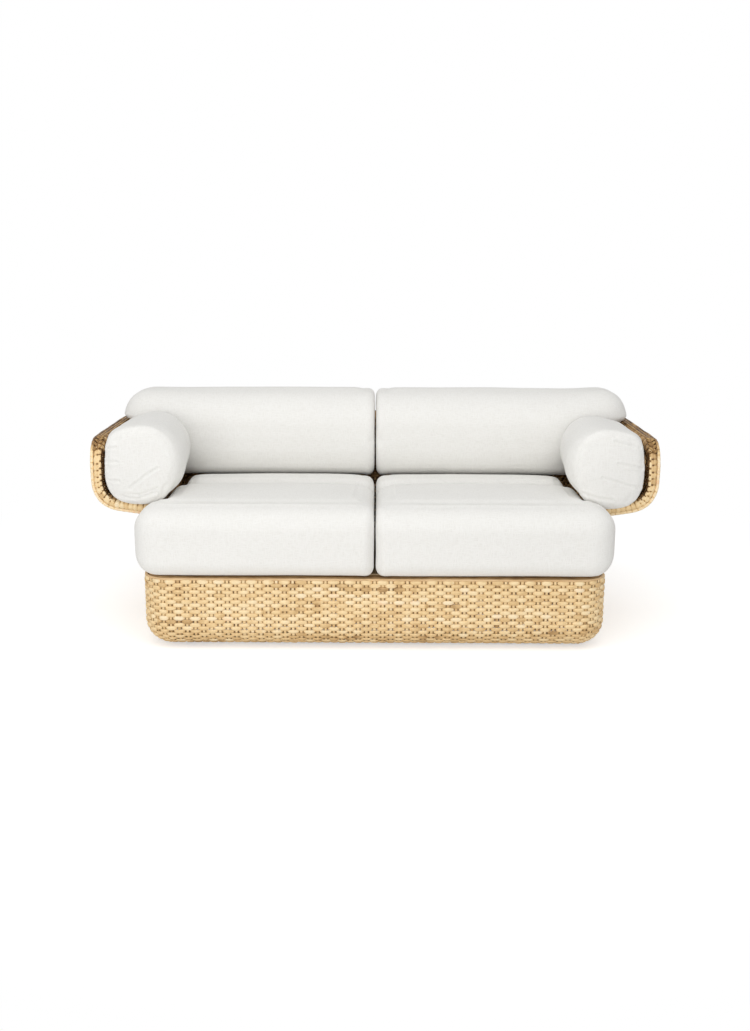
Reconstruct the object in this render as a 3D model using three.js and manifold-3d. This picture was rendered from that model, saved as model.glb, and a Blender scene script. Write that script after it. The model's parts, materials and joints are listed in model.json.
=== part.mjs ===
// A two-seat basket sofa: a woven tub on bent poles, with loose cushions.
// Millimetres, X to the right, Y to the back, Z up. Each part is laid out from
// the front wall's outer face, and the last group centres the whole on Y.

import * as THREE from 'three';
import { mergeVertices } from 'three/addons/utils/BufferGeometryUtils.js';
import Module from 'manifold-3d';

const wasm = await Module();
wasm.setup();

// Overall sizes
const overallWidth = 1770;
const overallDepth = 860;
const armFlare = 172;
const rollOverhang = 20;
const lowRimTop = 232;
const floorGap = 5;

// Wall layers, counted as depth from the outer face
const wallThickness = 45;
const skinThickness = 6;
const fit = 0.3;

// Base plan and lower edge
const baseCornerRadius = 90;
const rimCornerRadius = 165;
const bottomRadius = 75;

// Wall profile: outer face and inner face of the scoop, its heights stacked up from the low rim
const outerFlareRise = 114;
const outerNeckRadius = 45;
const outerSlope = 17;
const outerScoopRadius = 80;
const ledgeRise = 202;
const scoopDepth = 194;
const innerNeckRadius = 25;
const innerScoopRadius = 75;

// Front edge of the arms
const armFront = 145;
const topCornerRadius = 70;
const edgeDrop = 5;
const edgePoleRadius = 15;
const rimLead = 12;

// Poles and rails
const baseRingRadius = 16;
const waistRingRadius = 16;
const seatRingRadius = 15;
const postRadius = 13;
const ribRadius = 9;
const crossRailRadius = 14;
const braidHeight = 10;
const frontUprightSpacing = 440;
const crossRailInset = 173;
const armRibCount = 2;
const backRibSpacing = 400;
const backRibCount = 3;

// Deck and feet
const slatCount = 5;
const slatWidth = 150;
const slatSideGap = 69;
const slatThickness = 12;
const slatEndGap = 0.5;
const liningLift = 4;
const glideRadius = 20;
const glideSetback = 40;

// Seat cushions
const centreGap = 4.6;
const wingOverhang = 22;
const seatSideGap = 6;
const seatLobeStep = 28;
const seatWingGap = 5;
const seatRollThickness = 215;
const seatRollShoulder = 70;
const seatRollEndRadius = 76;
const seatPadFront = 72;
const seatPadThickness = 220;
const seatPadCrown = 9;
const seatPadShoulder = 95;
const seatPadEndRadius = 36;
const seatRearGap = 48;
const seatLobeDepth = 210;
const seatLobeLap = 40;
const seatLobeThickness = 221;
const seatLobeCrown = 3;
const seatLobeBrow = 60;
const seatLobeShoulder = 88;
const seatLobeEndRadius = 30;
const innerEndRadius = 22;
const channelRadius = 26;
const bottomEdgeRadius = 40;
const hemRadius = 20;

// Back rolls
const backRollDepth = 315;
const backRollHeight = 297;
const backRollGap = 10;
const backRollRadius = 125;
const backRollEndRadius = 95;
const backRollCrown = 3.7;

// Arm bolsters
const bolsterRadius = 122;
const bolsterLead = 4;
const bolsterRearGap = 7;
const bolsterEndRadius = 22;
const bolsterRimGap = 4;
const bolsterDome = 10;

// Covers, cores and zips
const coverThickness = 5;
const coreClearance = 0.4;
const leastRadius = 3;
const zipSlot = 4;
const seatZipLength = 420;
const backZipLength = 500;
const backZipTurnShare = 0.4;
const bolsterZipMargin = 60;
const seatZipRise = 68;
const zipEndClearance = 3;
const sliderLength = 14;
const sliderWidth = 10;
const sliderThickness = 3;
const sliderTongue = 2.4;
const tongueReach = 3;
const pullLength = 17;
const pullWidth = 6;
const pullThickness = 1.5;
const cutOverrun = 10;

// Facet counts
const poleSides = 8;
const ribSides = 6;
const wrapSides = 12;
const bendSteps = 4;
const scoopSteps = 5;
const roundSteps = 5;
const softSteps = 3;
const coreSteps = 2;

// Worked out from the sizes above
const baseHalf = overallWidth / 2 - armFlare;
const backPlane = overallDepth - rollOverhang;
const baseBack = backPlane - armFlare;
const outerFlareHeight = lowRimTop + outerFlareRise;
const ledgeHeight = lowRimTop + ledgeRise;
const rimTop = ledgeHeight + scoopDepth;
const flareRadiusShare = (rimCornerRadius - baseCornerRadius) / armFlare;
const wrapRadius = wallThickness / 2;
const edgeY = armFront + wrapRadius;
const rimHeight = rimTop - wrapRadius;
const skinTrim = Math.sqrt(wrapRadius ** 2 - (wrapRadius - skinThickness) ** 2) + fit;
const skinFront = edgeY + wrapRadius + fit;
const cornerStart = rimHeight - topCornerRadius;
const waistDepth = skinThickness + fit + waistRingRadius;
const frameDepth = waistDepth + waistRingRadius + fit + seatRingRadius;
const braidBottom = lowRimTop - braidHeight;
const waistHeight = braidBottom - fit - waistRingRadius;
const seatRingHeight = lowRimTop - slatThickness - fit - seatRingRadius;
const ringReach = bottomRadius - skinThickness - fit - baseRingRadius;
const ringShift = bottomRadius - frameDepth;
const baseRingHeight = floorGap + bottomRadius - Math.sqrt(ringReach ** 2 - ringShift ** 2);
const rimInner = baseHalf + armFlare - wallThickness;
const cushionBottom = lowRimTop + fit;
const seatRollRear = armFront - seatWingGap;
const seatOuter = baseHalf - wallThickness - seatSideGap;
const seatLobeOuter = seatOuter - seatLobeStep;
const seatLobeRear = baseBack - wallThickness - seatRearGap;
const seatLobeFront = seatLobeRear - seatLobeDepth;
const backRollBottom = ledgeHeight + fit;
const backRollRear = backPlane - wallThickness - backRollGap;
const backRollFront = backRollRear - backRollDepth;
const backRollOuter = rimInner - backRollGap;
const bolsterX = rimInner - bolsterRimGap - bolsterRadius;
const bolsterZ = ledgeHeight + fit + bolsterRadius;
const bolsterFront = armFront - bolsterLead;
const bolsterRear = backRollFront - bolsterRearGap;
const bolsterZipLength = bolsterRear - bolsterFront - 2 * bolsterZipMargin;

// Materials
function finish(color, roughness, metalness) {
  return new THREE.MeshStandardMaterial({ color, roughness, metalness });
}
const weaveFinish = finish(0xdebe87, 0.7, 0);
const wrapFinish = finish(0xe2c794, 0.65, 0);
const poleFinish = finish(0xc79f63, 0.6, 0);
const slatFinish = finish(0xcfae7c, 0.6, 0);
const fabricFinish = finish(0xecebe7, 0.95, 0);
const coreFinish = finish(0xe6dfb8, 0.95, 0);
const glideFinish = finish(0x3a3632, 0.7, 0);
const zipFinish = finish(0xb9b9b5, 0.35, 0.9);

// Solids: closed meshes, and joins and cuts between them
function plainGeometry(positions, triangles) {
  const geometry = new THREE.BufferGeometry();
  geometry.setAttribute('position', new THREE.Float32BufferAttribute(positions, 3));
  geometry.setIndex(triangles);
  return geometry;
}

function solidOf(geometry) {
  const bare = geometry.clone();
  bare.deleteAttribute('normal');
  bare.deleteAttribute('uv');
  const merged = mergeVertices(bare, fit / 100);
  const vertProperties = new Float32Array(merged.attributes.position.array);
  const triVerts = new Uint32Array(merged.index.array);
  return new wasm.Manifold(new wasm.Mesh({ numProp: 3, vertProperties, triVerts }));
}

function geometryOf(solid) {
  const mesh = solid.getMesh();
  return plainGeometry(Array.from(mesh.vertProperties), Array.from(mesh.triVerts));
}

function joined(geometries) {
  return geometries.map(solidOf).reduce((whole, piece) => whole.add(piece));
}

function mirrored(geometry) {
  const copy = geometry.clone();
  copy.scale(-1, 1, 1);
  const index = Array.from(copy.index.array);
  for (let i = 0; i < index.length; i += 3) {
    [index[i], index[i + 1]] = [index[i + 1], index[i]];
  }
  copy.setIndex(index);
  return copy;
}

// A mesh from rows of points that close round each row, with a centre point at each end
function loft(rows, startCentre, endCentre) {
  const count = rows[0].length;
  const points = [...rows.flat(), startCentre, endCentre];
  const startIndex = rows.length * count;
  const lastRow = startIndex - count;
  const triangles = [];
  for (let j = 0; j < count; j += 1) {
    const next = (j + 1) % count;
    triangles.push(startIndex, next, j);
    triangles.push(startIndex + 1, lastRow + j, lastRow + next);
    for (let i = 0; i < rows.length - 1; i += 1) {
      const a = i * count + j;
      const b = i * count + next;
      triangles.push(a, b, b + count, a, b + count, a + count);
    }
  }
  return plainGeometry(points.flatMap((p) => p.toArray()), triangles);
}

// A thin curved sheet between two grids of points that have the same rows and columns
function sheet(outer, inner) {
  const rows = outer.length;
  const columns = outer[0].length;
  const points = [...outer.flat(), ...inner.flat()];
  const layer = rows * columns;
  const triangles = [];
  const quad = (a, b, c, d) => triangles.push(a, b, c, a, c, d);
  for (let i = 0; i < rows - 1; i += 1) {
    for (let j = 0; j < columns - 1; j += 1) {
      const a = i * columns + j;
      quad(a, a + 1, a + columns + 1, a + columns);
      quad(layer + a, layer + a + columns, layer + a + columns + 1, layer + a + 1);
    }
  }
  for (let j = 0; j < columns - 1; j += 1) {
    const top = (rows - 1) * columns + j;
    quad(j, layer + j, layer + j + 1, j + 1);
    quad(top, top + 1, layer + top + 1, layer + top);
  }
  for (let i = 0; i < rows - 1; i += 1) {
    const a = i * columns;
    const b = a + columns - 1;
    quad(a, a + columns, layer + a + columns, layer + a);
    quad(b, layer + b, layer + b + columns, b + columns);
  }
  return plainGeometry(points.flatMap((p) => p.toArray()), triangles);
}

// A bent pole: it passes through each station once, with one step between two
class BentPole extends THREE.Curve {
  constructor(stations) {
    super();
    this.stations = stations;
  }

  getPoint(t, target = new THREE.Vector3()) {
    const last = this.stations.length - 1;
    const from = Math.min(Math.floor(t * last), last - 1);
    return target.lerpVectors(this.stations[from], this.stations[from + 1], t * last - from);
  }

  getPointAt(u, target) {
    return this.getPoint(u, target);
  }

  getTangentAt(u, target = new THREE.Vector3()) {
    const last = this.stations.length - 1;
    const at = Math.round(u * last);
    const before = this.stations[Math.max(at - 1, 0)];
    const after = this.stations[Math.min(at + 1, last)];
    return target.subVectors(after, before).normalize();
  }
}

function roundOutline(radius, sides) {
  const outline = [];
  for (let k = 0; k < sides; k += 1) {
    const angle = (2 * Math.PI * k) / sides;
    outline.push(new THREE.Vector2(radius * Math.cos(angle), radius * Math.sin(angle)));
  }
  return outline;
}

function pole(stations, radius, sides = poleSides) {
  const shape = new THREE.Shape(roundOutline(radius, sides));
  const extrudePath = new BentPole(stations);
  return new THREE.ExtrudeGeometry(shape, { steps: stations.length - 1, extrudePath });
}

function sleeve(stations, radius, boreRadius) {
  const shape = new THREE.Shape(roundOutline(radius, wrapSides));
  shape.holes.push(new THREE.Path(roundOutline(boreRadius, poleSides)));
  const extrudePath = new BentPole(stations);
  return new THREE.ExtrudeGeometry(shape, { steps: stations.length - 1, extrudePath });
}

// Wall profile: points of {out, z}, where out is counted from the base's outer face
function mix(from, to, share) {
  return from + (to - from) * share;
}

function faceAt(depth) {
  const share = depth / wallThickness;
  return {
    start: -depth,
    flareZ: mix(outerFlareHeight, ledgeHeight - innerNeckRadius, share),
    neckRadius: mix(outerNeckRadius, innerNeckRadius, share),
    slope: THREE.MathUtils.degToRad(mix(outerSlope, 0, share)),
    scoopRadius: mix(outerScoopRadius, innerScoopRadius, share),
    end: armFlare - depth,
  };
}

function scoopPoints(depth, drop = 0) {
  const face = faceAt(depth);
  const flareZ = face.flareZ - drop;
  const points = [];
  for (let k = 0; k <= bendSteps; k += 1) {
    const angle = mix(Math.PI, Math.PI / 2 + face.slope, k / bendSteps);
    points.push({
      out: face.start + face.neckRadius * (1 + Math.cos(angle)),
      z: flareZ + face.neckRadius * Math.sin(angle),
    });
  }
  const neckEnd = points[bendSteps];
  const scoopOut = face.end - face.scoopRadius;
  const underRun = scoopOut + face.scoopRadius * Math.sin(face.slope) - neckEnd.out;
  const rise = underRun * Math.tan(face.slope) + face.scoopRadius * Math.cos(face.slope);
  for (let k = 0; k <= scoopSteps; k += 1) {
    const angle = mix(face.slope - Math.PI / 2, 0, k / scoopSteps);
    points.push({
      out: scoopOut + face.scoopRadius * Math.cos(angle),
      z: neckEnd.z + rise + face.scoopRadius * Math.sin(angle),
    });
  }
  return points;
}

function bottomPoints(depth) {
  const points = [];
  for (let k = 0; k <= scoopSteps; k += 1) {
    const angle = mix(-Math.PI / 2, 0, k / scoopSteps);
    points.push({
      out: -bottomRadius + (bottomRadius - depth) * Math.cos(angle),
      z: floorGap + bottomRadius + (bottomRadius - depth) * Math.sin(angle),
    });
  }
  return points;
}

function upperPoints(depth) {
  const points = [];
  for (let k = 0; k <= bendSteps; k += 1) {
    const angle = mix(0, Math.PI / 2, k / bendSteps);
    const reach = (topCornerRadius - skinTrim) * Math.sin(angle);
    points.push({ out: armFlare - depth, z: cornerStart + reach });
  }
  return points;
}

function outerSkinPoints(depth) {
  return [...bottomPoints(depth), ...scoopPoints(depth), ...upperPoints(depth)];
}

function liningPoints(depth) {
  const foot = { out: -depth, z: lowRimTop + liningLift };
  return [foot, ...scoopPoints(depth), ...upperPoints(depth)];
}

function frontWeavePoints(depth) {
  return [...bottomPoints(depth), { out: -depth, z: braidBottom - fit }];
}

// Plan: where a point of the wall lies, for an offset and a depth
function planRadius(out, depth) {
  const faceOut = out + depth;
  const grown = faceOut > 0 ? flareRadiusShare * faceOut : faceOut;
  return baseCornerRadius + grown - depth;
}

function rearTangent(out, depth) {
  return baseBack + out - planRadius(out, depth);
}

function rearCorner(out, depth, angle) {
  const radius = planRadius(out, depth);
  const x = baseHalf + out - radius + radius * Math.cos(angle);
  return [x, rearTangent(out, depth) + radius * Math.sin(angle)];
}

function frontCorner(out, depth, angle) {
  const radius = planRadius(out, depth);
  const x = baseHalf + out - radius + radius * Math.cos(angle);
  return [x, radius - out - radius * Math.sin(angle)];
}

function skinFrontAt(z) {
  if (z < cornerStart) {
    return skinFront;
  }
  const reach = topCornerRadius - skinTrim;
  const inside = Math.max(reach ** 2 - (z - cornerStart) ** 2, 0);
  return edgeY + topCornerRadius - Math.sqrt(inside);
}

// The right-hand half of a row of corner points, then the left-hand half
function bothHalves(cornerPoint, z) {
  const right = [];
  for (let k = 0; k <= bendSteps; k += 1) {
    const [x, y] = cornerPoint(mix(0, Math.PI / 2, k / bendSteps));
    right.push(new THREE.Vector3(x, y, z));
  }
  const left = right.map((p) => new THREE.Vector3(-p.x, p.y, p.z)).reverse();
  return [...right, ...left];
}

function sideGrid(profile, depth) {
  return profile.map(({ out, z }) => [
    new THREE.Vector3(baseHalf + out, skinFrontAt(z), z),
    new THREE.Vector3(baseHalf + out, rearTangent(out, depth) - fit, z),
  ]);
}

function backGrid(profile, depth) {
  return profile.map(({ out, z }) => bothHalves((angle) => rearCorner(out, depth, angle), z));
}

function frontGrid(profile, depth, rear) {
  return profile.map(({ out, z }) => {
    const row = bothHalves((angle) => frontCorner(out, depth, angle), z).reverse();
    row.unshift(new THREE.Vector3(-baseHalf - out, rear, z));
    row.push(new THREE.Vector3(baseHalf + out, rear, z));
    return row;
  });
}

// Woven skins
function sideWeave() {
  const outer = sideGrid(outerSkinPoints(0), 0);
  return sheet(outer, sideGrid(outerSkinPoints(skinThickness), skinThickness));
}

function armLining() {
  const near = wallThickness - skinThickness;
  return sheet(sideGrid(liningPoints(near), near), sideGrid(liningPoints(wallThickness), wallThickness));
}

function backWeave() {
  const outer = backGrid(outerSkinPoints(0), 0);
  return sheet(outer, backGrid(outerSkinPoints(skinThickness), skinThickness));
}

function backLining() {
  const near = wallThickness - skinThickness;
  return sheet(backGrid(liningPoints(near), near), backGrid(liningPoints(wallThickness), wallThickness));
}

function frontWeave() {
  const rear = skinFront - fit;
  const outer = frontGrid(frontWeavePoints(0), 0, rear);
  return sheet(outer, frontGrid(frontWeavePoints(skinThickness), skinThickness, rear));
}

function frontBraid() {
  const profile = (depth) => [
    { out: -depth, z: braidBottom },
    { out: -depth, z: lowRimTop },
  ];
  const rear = skinFront - fit;
  return sheet(frontGrid(profile(0), 0, rear), frontGrid(profile(wallThickness), wallThickness, rear));
}

// Poles
function ringPole(depth, z, radius) {
  const rear = bothHalves((angle) => rearCorner(-depth, depth, angle), z);
  const front = bothHalves((angle) => frontCorner(-depth, depth, angle), z).reverse();
  const half = rear.length / 2;
  const join = rear[half].clone().setX(fit / 2);
  const stations = [join, ...rear.slice(0, half).reverse(), ...front.slice(half).reverse()];
  stations.push(...front.slice(0, half).reverse(), ...rear.slice(half).reverse());
  stations.push(join.clone().setX(-fit / 2));
  return pole(stations, radius);
}

function armEdgeStations() {
  const foot = { out: -wrapRadius, z: lowRimTop + fit };
  const stations = [foot, ...scoopPoints(wrapRadius, edgeDrop)].map(
    ({ out, z }) => new THREE.Vector3(baseHalf + out, edgeY, z),
  );
  const x = baseHalf + armFlare - wrapRadius;
  for (let k = 0; k <= bendSteps; k += 1) {
    const angle = mix(0, Math.PI / 2, k / bendSteps);
    const y = edgeY + topCornerRadius * (1 - Math.cos(angle));
    stations.push(new THREE.Vector3(x, y, cornerStart + topCornerRadius * Math.sin(angle)));
  }
  const rear = rearTangent(armFlare - wrapRadius, wrapRadius) - rimLead - fit;
  stations.push(new THREE.Vector3(x, rear, rimHeight));
  return stations;
}

function backRimStations() {
  const out = armFlare - wrapRadius;
  const bend = bothHalves((angle) => rearCorner(out, wrapRadius, angle), rimHeight);
  const lead = new THREE.Vector3(0, rimLead, 0);
  const rightEnd = bend[0].clone().sub(lead);
  const leftEnd = bend[bend.length - 1].clone().sub(lead);
  return [rightEnd, ...bend, leftEnd];
}

function ribStations(place) {
  const foot = { out: -wrapRadius, z: braidBottom };
  const head = { out: armFlare - wrapRadius, z: rimHeight - wrapRadius - fit };
  return [foot, ...scoopPoints(wrapRadius), head].map(place);
}

function armRib(place) {
  const y = mix(skinFront, rearTangent(-wrapRadius, wrapRadius), place / (armRibCount + 1));
  return pole(ribStations(({ out, z }) => new THREE.Vector3(baseHalf + out, y, z)), ribRadius, ribSides);
}

function backRib(x) {
  return pole(ribStations(({ out, z }) => new THREE.Vector3(x, baseBack + out, z)), ribRadius, ribSides);
}

function standingPost(x, y) {
  const low = baseRingHeight + baseRingRadius + fit;
  const high = seatRingHeight - seatRingRadius - fit;
  return pole([new THREE.Vector3(x, y, low), new THREE.Vector3(x, y, high)], postRadius);
}

function crossRail(x) {
  const inset = frameDepth + baseRingRadius + fit;
  const front = new THREE.Vector3(x, inset, baseRingHeight);
  return pole([front, new THREE.Vector3(x, baseBack - inset, baseRingHeight)], crossRailRadius);
}

// Deck slats and feet
function slat() {
  const front = wallThickness + slatEndGap;
  const geometry = new THREE.BoxGeometry(slatWidth, baseBack - 2 * front, slatThickness);
  return geometry.translate(0, baseBack / 2, lowRimTop - slatThickness / 2);
}

function slatX(place) {
  const reach = baseHalf - wallThickness - slatSideGap - slatWidth / 2;
  return mix(-reach, reach, place / (slatCount - 1));
}

function glide() {
  const height = baseRingHeight - crossRailRadius - fit;
  const geometry = new THREE.CylinderGeometry(glideRadius, glideRadius, height, wrapSides);
  return geometry.rotateX(Math.PI / 2).translate(0, 0, height / 2);
}

// Cushions. A pad is swept along X: its section has four rounded corners, its
// ends are rounded over by insets of that section, and its top is crowned.
function corner(y, z, radius, steps, from) {
  const points = [];
  for (let k = 0; k <= steps; k += 1) {
    const angle = from + (Math.PI / 2) * (k / steps);
    points.push([y + radius * Math.cos(angle), z + radius * Math.sin(angle)]);
  }
  return points;
}

function padSection(pad, inset) {
  const [frontLow, rearLow, rearHigh, frontHigh] = pad.radii.map((r) => Math.max(r - inset, leastRadius));
  const front = pad.front + inset;
  const rear = pad.rear - inset;
  const bottom = pad.bottom + inset;
  const top = pad.top - inset;
  const topEdge = [];
  for (let k = 1; k < pad.topSteps; k += 1) {
    topEdge.push([mix(rear - rearHigh, front + frontHigh, k / pad.topSteps), top]);
  }
  return [
    ...corner(front + frontLow, bottom + frontLow, frontLow, pad.steps, Math.PI),
    ...corner(rear - rearLow, bottom + rearLow, rearLow, pad.steps, -Math.PI / 2),
    ...corner(rear - rearHigh, top - rearHigh, rearHigh, pad.steps, 0),
    ...topEdge,
    ...corner(front + frontHigh, top - frontHigh, frontHigh, pad.steps, Math.PI / 2),
  ];
}

function padRow(pad, x, inset) {
  const along = (2 * x - pad.inner - pad.outer) / (pad.outer - pad.inner);
  const middle = (pad.front + pad.rear) / 2;
  const half = (pad.rear - pad.front) / 2;
  const height = pad.top - pad.bottom;
  return padSection(pad, inset).map(([y, z]) => {
    const across = (y - middle) / half;
    const rise = Math.max((z - pad.bottom) / height, 0) ** 2;
    return new THREE.Vector3(x, y, z + pad.crown * rise * (1 - along ** 2) * (1 - across ** 2));
  });
}

function padSolid(pad) {
  const rows = [];
  for (let k = 0; k <= pad.steps; k += 1) {
    const angle = (Math.PI / 2) * (k / pad.steps);
    const x = pad.inner + pad.innerEnd * (1 - Math.cos(angle));
    rows.push(padRow(pad, x, pad.innerEnd * (1 - Math.sin(angle))));
  }
  for (let k = 1; k < pad.lengthSteps; k += 1) {
    const x = mix(pad.inner + pad.innerEnd, pad.outer - pad.outerEnd, k / pad.lengthSteps);
    rows.push(padRow(pad, x, 0));
  }
  for (let k = pad.steps; k >= 0; k -= 1) {
    const angle = (Math.PI / 2) * (k / pad.steps);
    const x = pad.outer - pad.outerEnd * (1 - Math.cos(angle));
    rows.push(padRow(pad, x, pad.outerEnd * (1 - Math.sin(angle))));
  }
  const centre = (x) => new THREE.Vector3(x, (pad.front + pad.rear) / 2, (pad.bottom + pad.top) / 2);
  return loft(rows, centre(pad.inner), centre(pad.outer));
}

// The same pad, smaller by a layer all round and with fewer facets
function within(pad, layer) {
  const smaller = { ...pad, steps: coreSteps, topSteps: coreSteps, lengthSteps: coreSteps };
  smaller.inner += layer;
  smaller.front += layer;
  smaller.bottom += layer;
  smaller.outer -= layer;
  smaller.rear -= layer;
  smaller.top -= layer;
  smaller.innerEnd = Math.max(pad.innerEnd - layer, leastRadius);
  smaller.outerEnd = Math.max(pad.outerEnd - layer, leastRadius);
  smaller.radii = pad.radii.map((r) => Math.max(r - layer, leastRadius));
  return smaller;
}

const padDefaults = {
  inner: centreGap / 2,
  bottom: cushionBottom,
  innerEnd: innerEndRadius,
  steps: softSteps,
  topSteps: softSteps,
  lengthSteps: softSteps,
};

const seatPads = [
  {
    ...padDefaults,
    outer: baseHalf + wingOverhang,
    outerEnd: seatRollEndRadius,
    front: -rollOverhang,
    rear: seatRollRear,
    top: cushionBottom + seatRollThickness,
    crown: 0,
    radii: [bottomEdgeRadius, hemRadius, channelRadius, seatRollShoulder],
  },
  {
    ...padDefaults,
    outer: seatOuter,
    outerEnd: seatPadEndRadius,
    front: seatPadFront,
    rear: seatLobeFront + seatLobeLap,
    top: cushionBottom + seatPadThickness,
    crown: seatPadCrown,
    steps: roundSteps,
    radii: [hemRadius, hemRadius, seatPadShoulder, channelRadius],
  },
  {
    ...padDefaults,
    outer: seatLobeOuter,
    outerEnd: seatLobeEndRadius,
    front: seatLobeFront,
    rear: seatLobeRear,
    top: cushionBottom + seatLobeThickness,
    crown: seatLobeCrown,
    radii: [hemRadius, hemRadius, seatLobeShoulder, seatLobeBrow],
  },
];

const backPads = [
  {
    ...padDefaults,
    outer: backRollOuter,
    outerEnd: backRollEndRadius,
    front: backRollFront,
    rear: backRollRear,
    bottom: backRollBottom,
    top: backRollBottom + backRollHeight,
    crown: backRollCrown,
    steps: roundSteps,
    radii: [backRollRadius, backRollRadius, backRollRadius, backRollRadius],
  },
];

// A bolster lies along Y, centred on its own axis
function bolsterSolid(layer, steps) {
  const radius = bolsterRadius - layer;
  const endRadius = bolsterEndRadius - layer;
  const front = bolsterFront + layer;
  const rear = bolsterRear - layer;
  const sides = 4 * roundSteps;
  const row = (y, inset) => roundOutline(radius - inset, sides).map((p) => new THREE.Vector3(p.y, y, p.x));
  const rows = [];
  for (let k = 0; k <= steps; k += 1) {
    const angle = (Math.PI / 2) * (k / steps);
    const y = front + bolsterDome + endRadius * (1 - Math.cos(angle));
    rows.push(row(y, endRadius * (1 - Math.sin(angle))));
  }
  for (let k = steps; k >= 0; k -= 1) {
    const angle = (Math.PI / 2) * (k / steps);
    const y = rear - bolsterDome - endRadius * (1 - Math.cos(angle));
    rows.push(row(y, endRadius * (1 - Math.sin(angle))));
  }
  return loft(rows, new THREE.Vector3(0, front, 0), new THREE.Vector3(0, rear, 0));
}

// Zips: a frame whose X runs along the slot and whose Z points out of the cover
function zipFrame(centre, along, outward) {
  const across = new THREE.Vector3().crossVectors(outward, along);
  return new THREE.Matrix4().makeBasis(along, across, outward).setPosition(centre);
}

function zipCut(frame, length) {
  const geometry = new THREE.BoxGeometry(length, zipSlot, coverThickness + 2 * cutOverrun);
  return geometry.translate(0, 0, -coverThickness / 2).applyMatrix4(frame);
}

function zipSlider() {
  const plate = new THREE.BoxGeometry(sliderLength, sliderWidth, sliderThickness);
  plate.translate(0, 0, fit + sliderThickness / 2);
  const tongueHeight = tongueReach + fit + sliderThickness / 2;
  const tongue = new THREE.BoxGeometry(sliderLength, sliderTongue, tongueHeight);
  tongue.translate(0, 0, tongueHeight / 2 - tongueReach);
  const pull = new THREE.BoxGeometry(pullWidth, pullLength, pullThickness);
  pull.translate(0, pullLength / 2, fit + sliderThickness / 2);
  return geometryOf(joined([plate, tongue, pull]));
}

function zipStart(length) {
  return sliderLength / 2 + zipEndClearance - length / 2;
}

const downOut = Math.SQRT1_2;
const facetReach = Math.cos(Math.PI / (4 * roundSteps));
const backCornerY = backRollRear - backRollRadius;
const backCornerZ = backRollBottom + backRollRadius;

function seatZip(side) {
  const centre = new THREE.Vector3(side * (seatLobeOuter / 2), seatLobeRear, cushionBottom + seatZipRise);
  return zipFrame(centre, new THREE.Vector3(1, 0, 0), new THREE.Vector3(0, 1, 0));
}

function backZip(side) {
  const turn = (Math.PI / 2) * backZipTurnShare;
  const outward = new THREE.Vector3(0, Math.cos(turn), -Math.sin(turn));
  const centre = new THREE.Vector3(side * (backRollOuter / 2), backCornerY, backCornerZ);
  centre.addScaledVector(outward, backRollRadius);
  return zipFrame(centre, new THREE.Vector3(1, 0, 0), outward);
}

function bolsterZip(side) {
  const outward = new THREE.Vector3(side * downOut, 0, -downOut);
  const centre = new THREE.Vector3(side * bolsterX, (bolsterFront + bolsterRear) / 2, bolsterZ);
  centre.addScaledVector(outward, bolsterRadius * facetReach);
  return zipFrame(centre, new THREE.Vector3(0, side, 0), outward);
}

// A cover is a shell with its zip open as a slot, and a core fills it
function padCover(pads, cut) {
  const shell = joined(pads.map(padSolid));
  const hollow = joined(pads.map((pad) => padSolid(within(pad, coverThickness))));
  return geometryOf(shell.subtract(hollow).subtract(solidOf(cut)));
}

function padCore(pads) {
  return geometryOf(joined(pads.map((pad) => padSolid(within(pad, coverThickness + coreClearance)))));
}

function placedBolster(layer, steps) {
  return bolsterSolid(layer, steps).translate(bolsterX, 0, bolsterZ);
}

function bolsterCover(cut) {
  const shell = solidOf(placedBolster(0, softSteps));
  const hollow = solidOf(placedBolster(coverThickness, coreSteps));
  return geometryOf(shell.subtract(hollow).subtract(solidOf(cut)));
}

// Assembly
const sofa = new THREE.Group();

function add(name, geometry, material, x = 0, y = 0) {
  const mesh = new THREE.Mesh(geometry, material);
  mesh.name = name;
  mesh.position.set(x, y, 0);
  sofa.add(mesh);
  return mesh;
}

function addPair(name, geometry, material) {
  add(`${name}_right`, geometry, material);
  add(`${name}_left`, mirrored(mergeVertices(geometry)), material);
}

function addFrame() {
  add('base_ring', ringPole(frameDepth, baseRingHeight, baseRingRadius), poleFinish);
  add('waist_ring', ringPole(waistDepth, waistHeight, waistRingRadius), poleFinish);
  add('seat_ring', ringPole(frameDepth, seatRingHeight, seatRingRadius), poleFinish);
  const edge = armEdgeStations();
  addPair('arm_edge_pole', pole(edge, edgePoleRadius), poleFinish);
  add('back_rim_pole', pole(backRimStations(), edgePoleRadius), poleFinish);
  addPair('arm_edge_wrap', sleeve(edge, wrapRadius, edgePoleRadius + fit), wrapFinish);
  add('back_rim_wrap', sleeve(backRimStations(), wrapRadius, edgePoleRadius + fit), wrapFinish);
  for (let k = 1; k <= armRibCount; k += 1) {
    addPair(`arm_rib_${k}`, armRib(k), poleFinish);
  }
  for (let k = 0; k < backRibCount; k += 1) {
    const x = (k - (backRibCount - 1) / 2) * backRibSpacing;
    add(`back_rib_${k + 1}`, backRib(x), poleFinish);
  }
}

function addPosts() {
  const [frontX, frontY] = frontCorner(-frameDepth, frameDepth, Math.PI / 4);
  const [rearX, rearY] = rearCorner(-frameDepth, frameDepth, Math.PI / 4);
  addPair('corner_post_front', standingPost(frontX, frontY), poleFinish);
  addPair('corner_post_rear', standingPost(rearX, rearY), poleFinish);
  addPair('front_upright', standingPost(frontUprightSpacing / 2, frameDepth), poleFinish);
  addPair('cross_rail', crossRail(baseHalf - crossRailInset), poleFinish);
}

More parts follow.
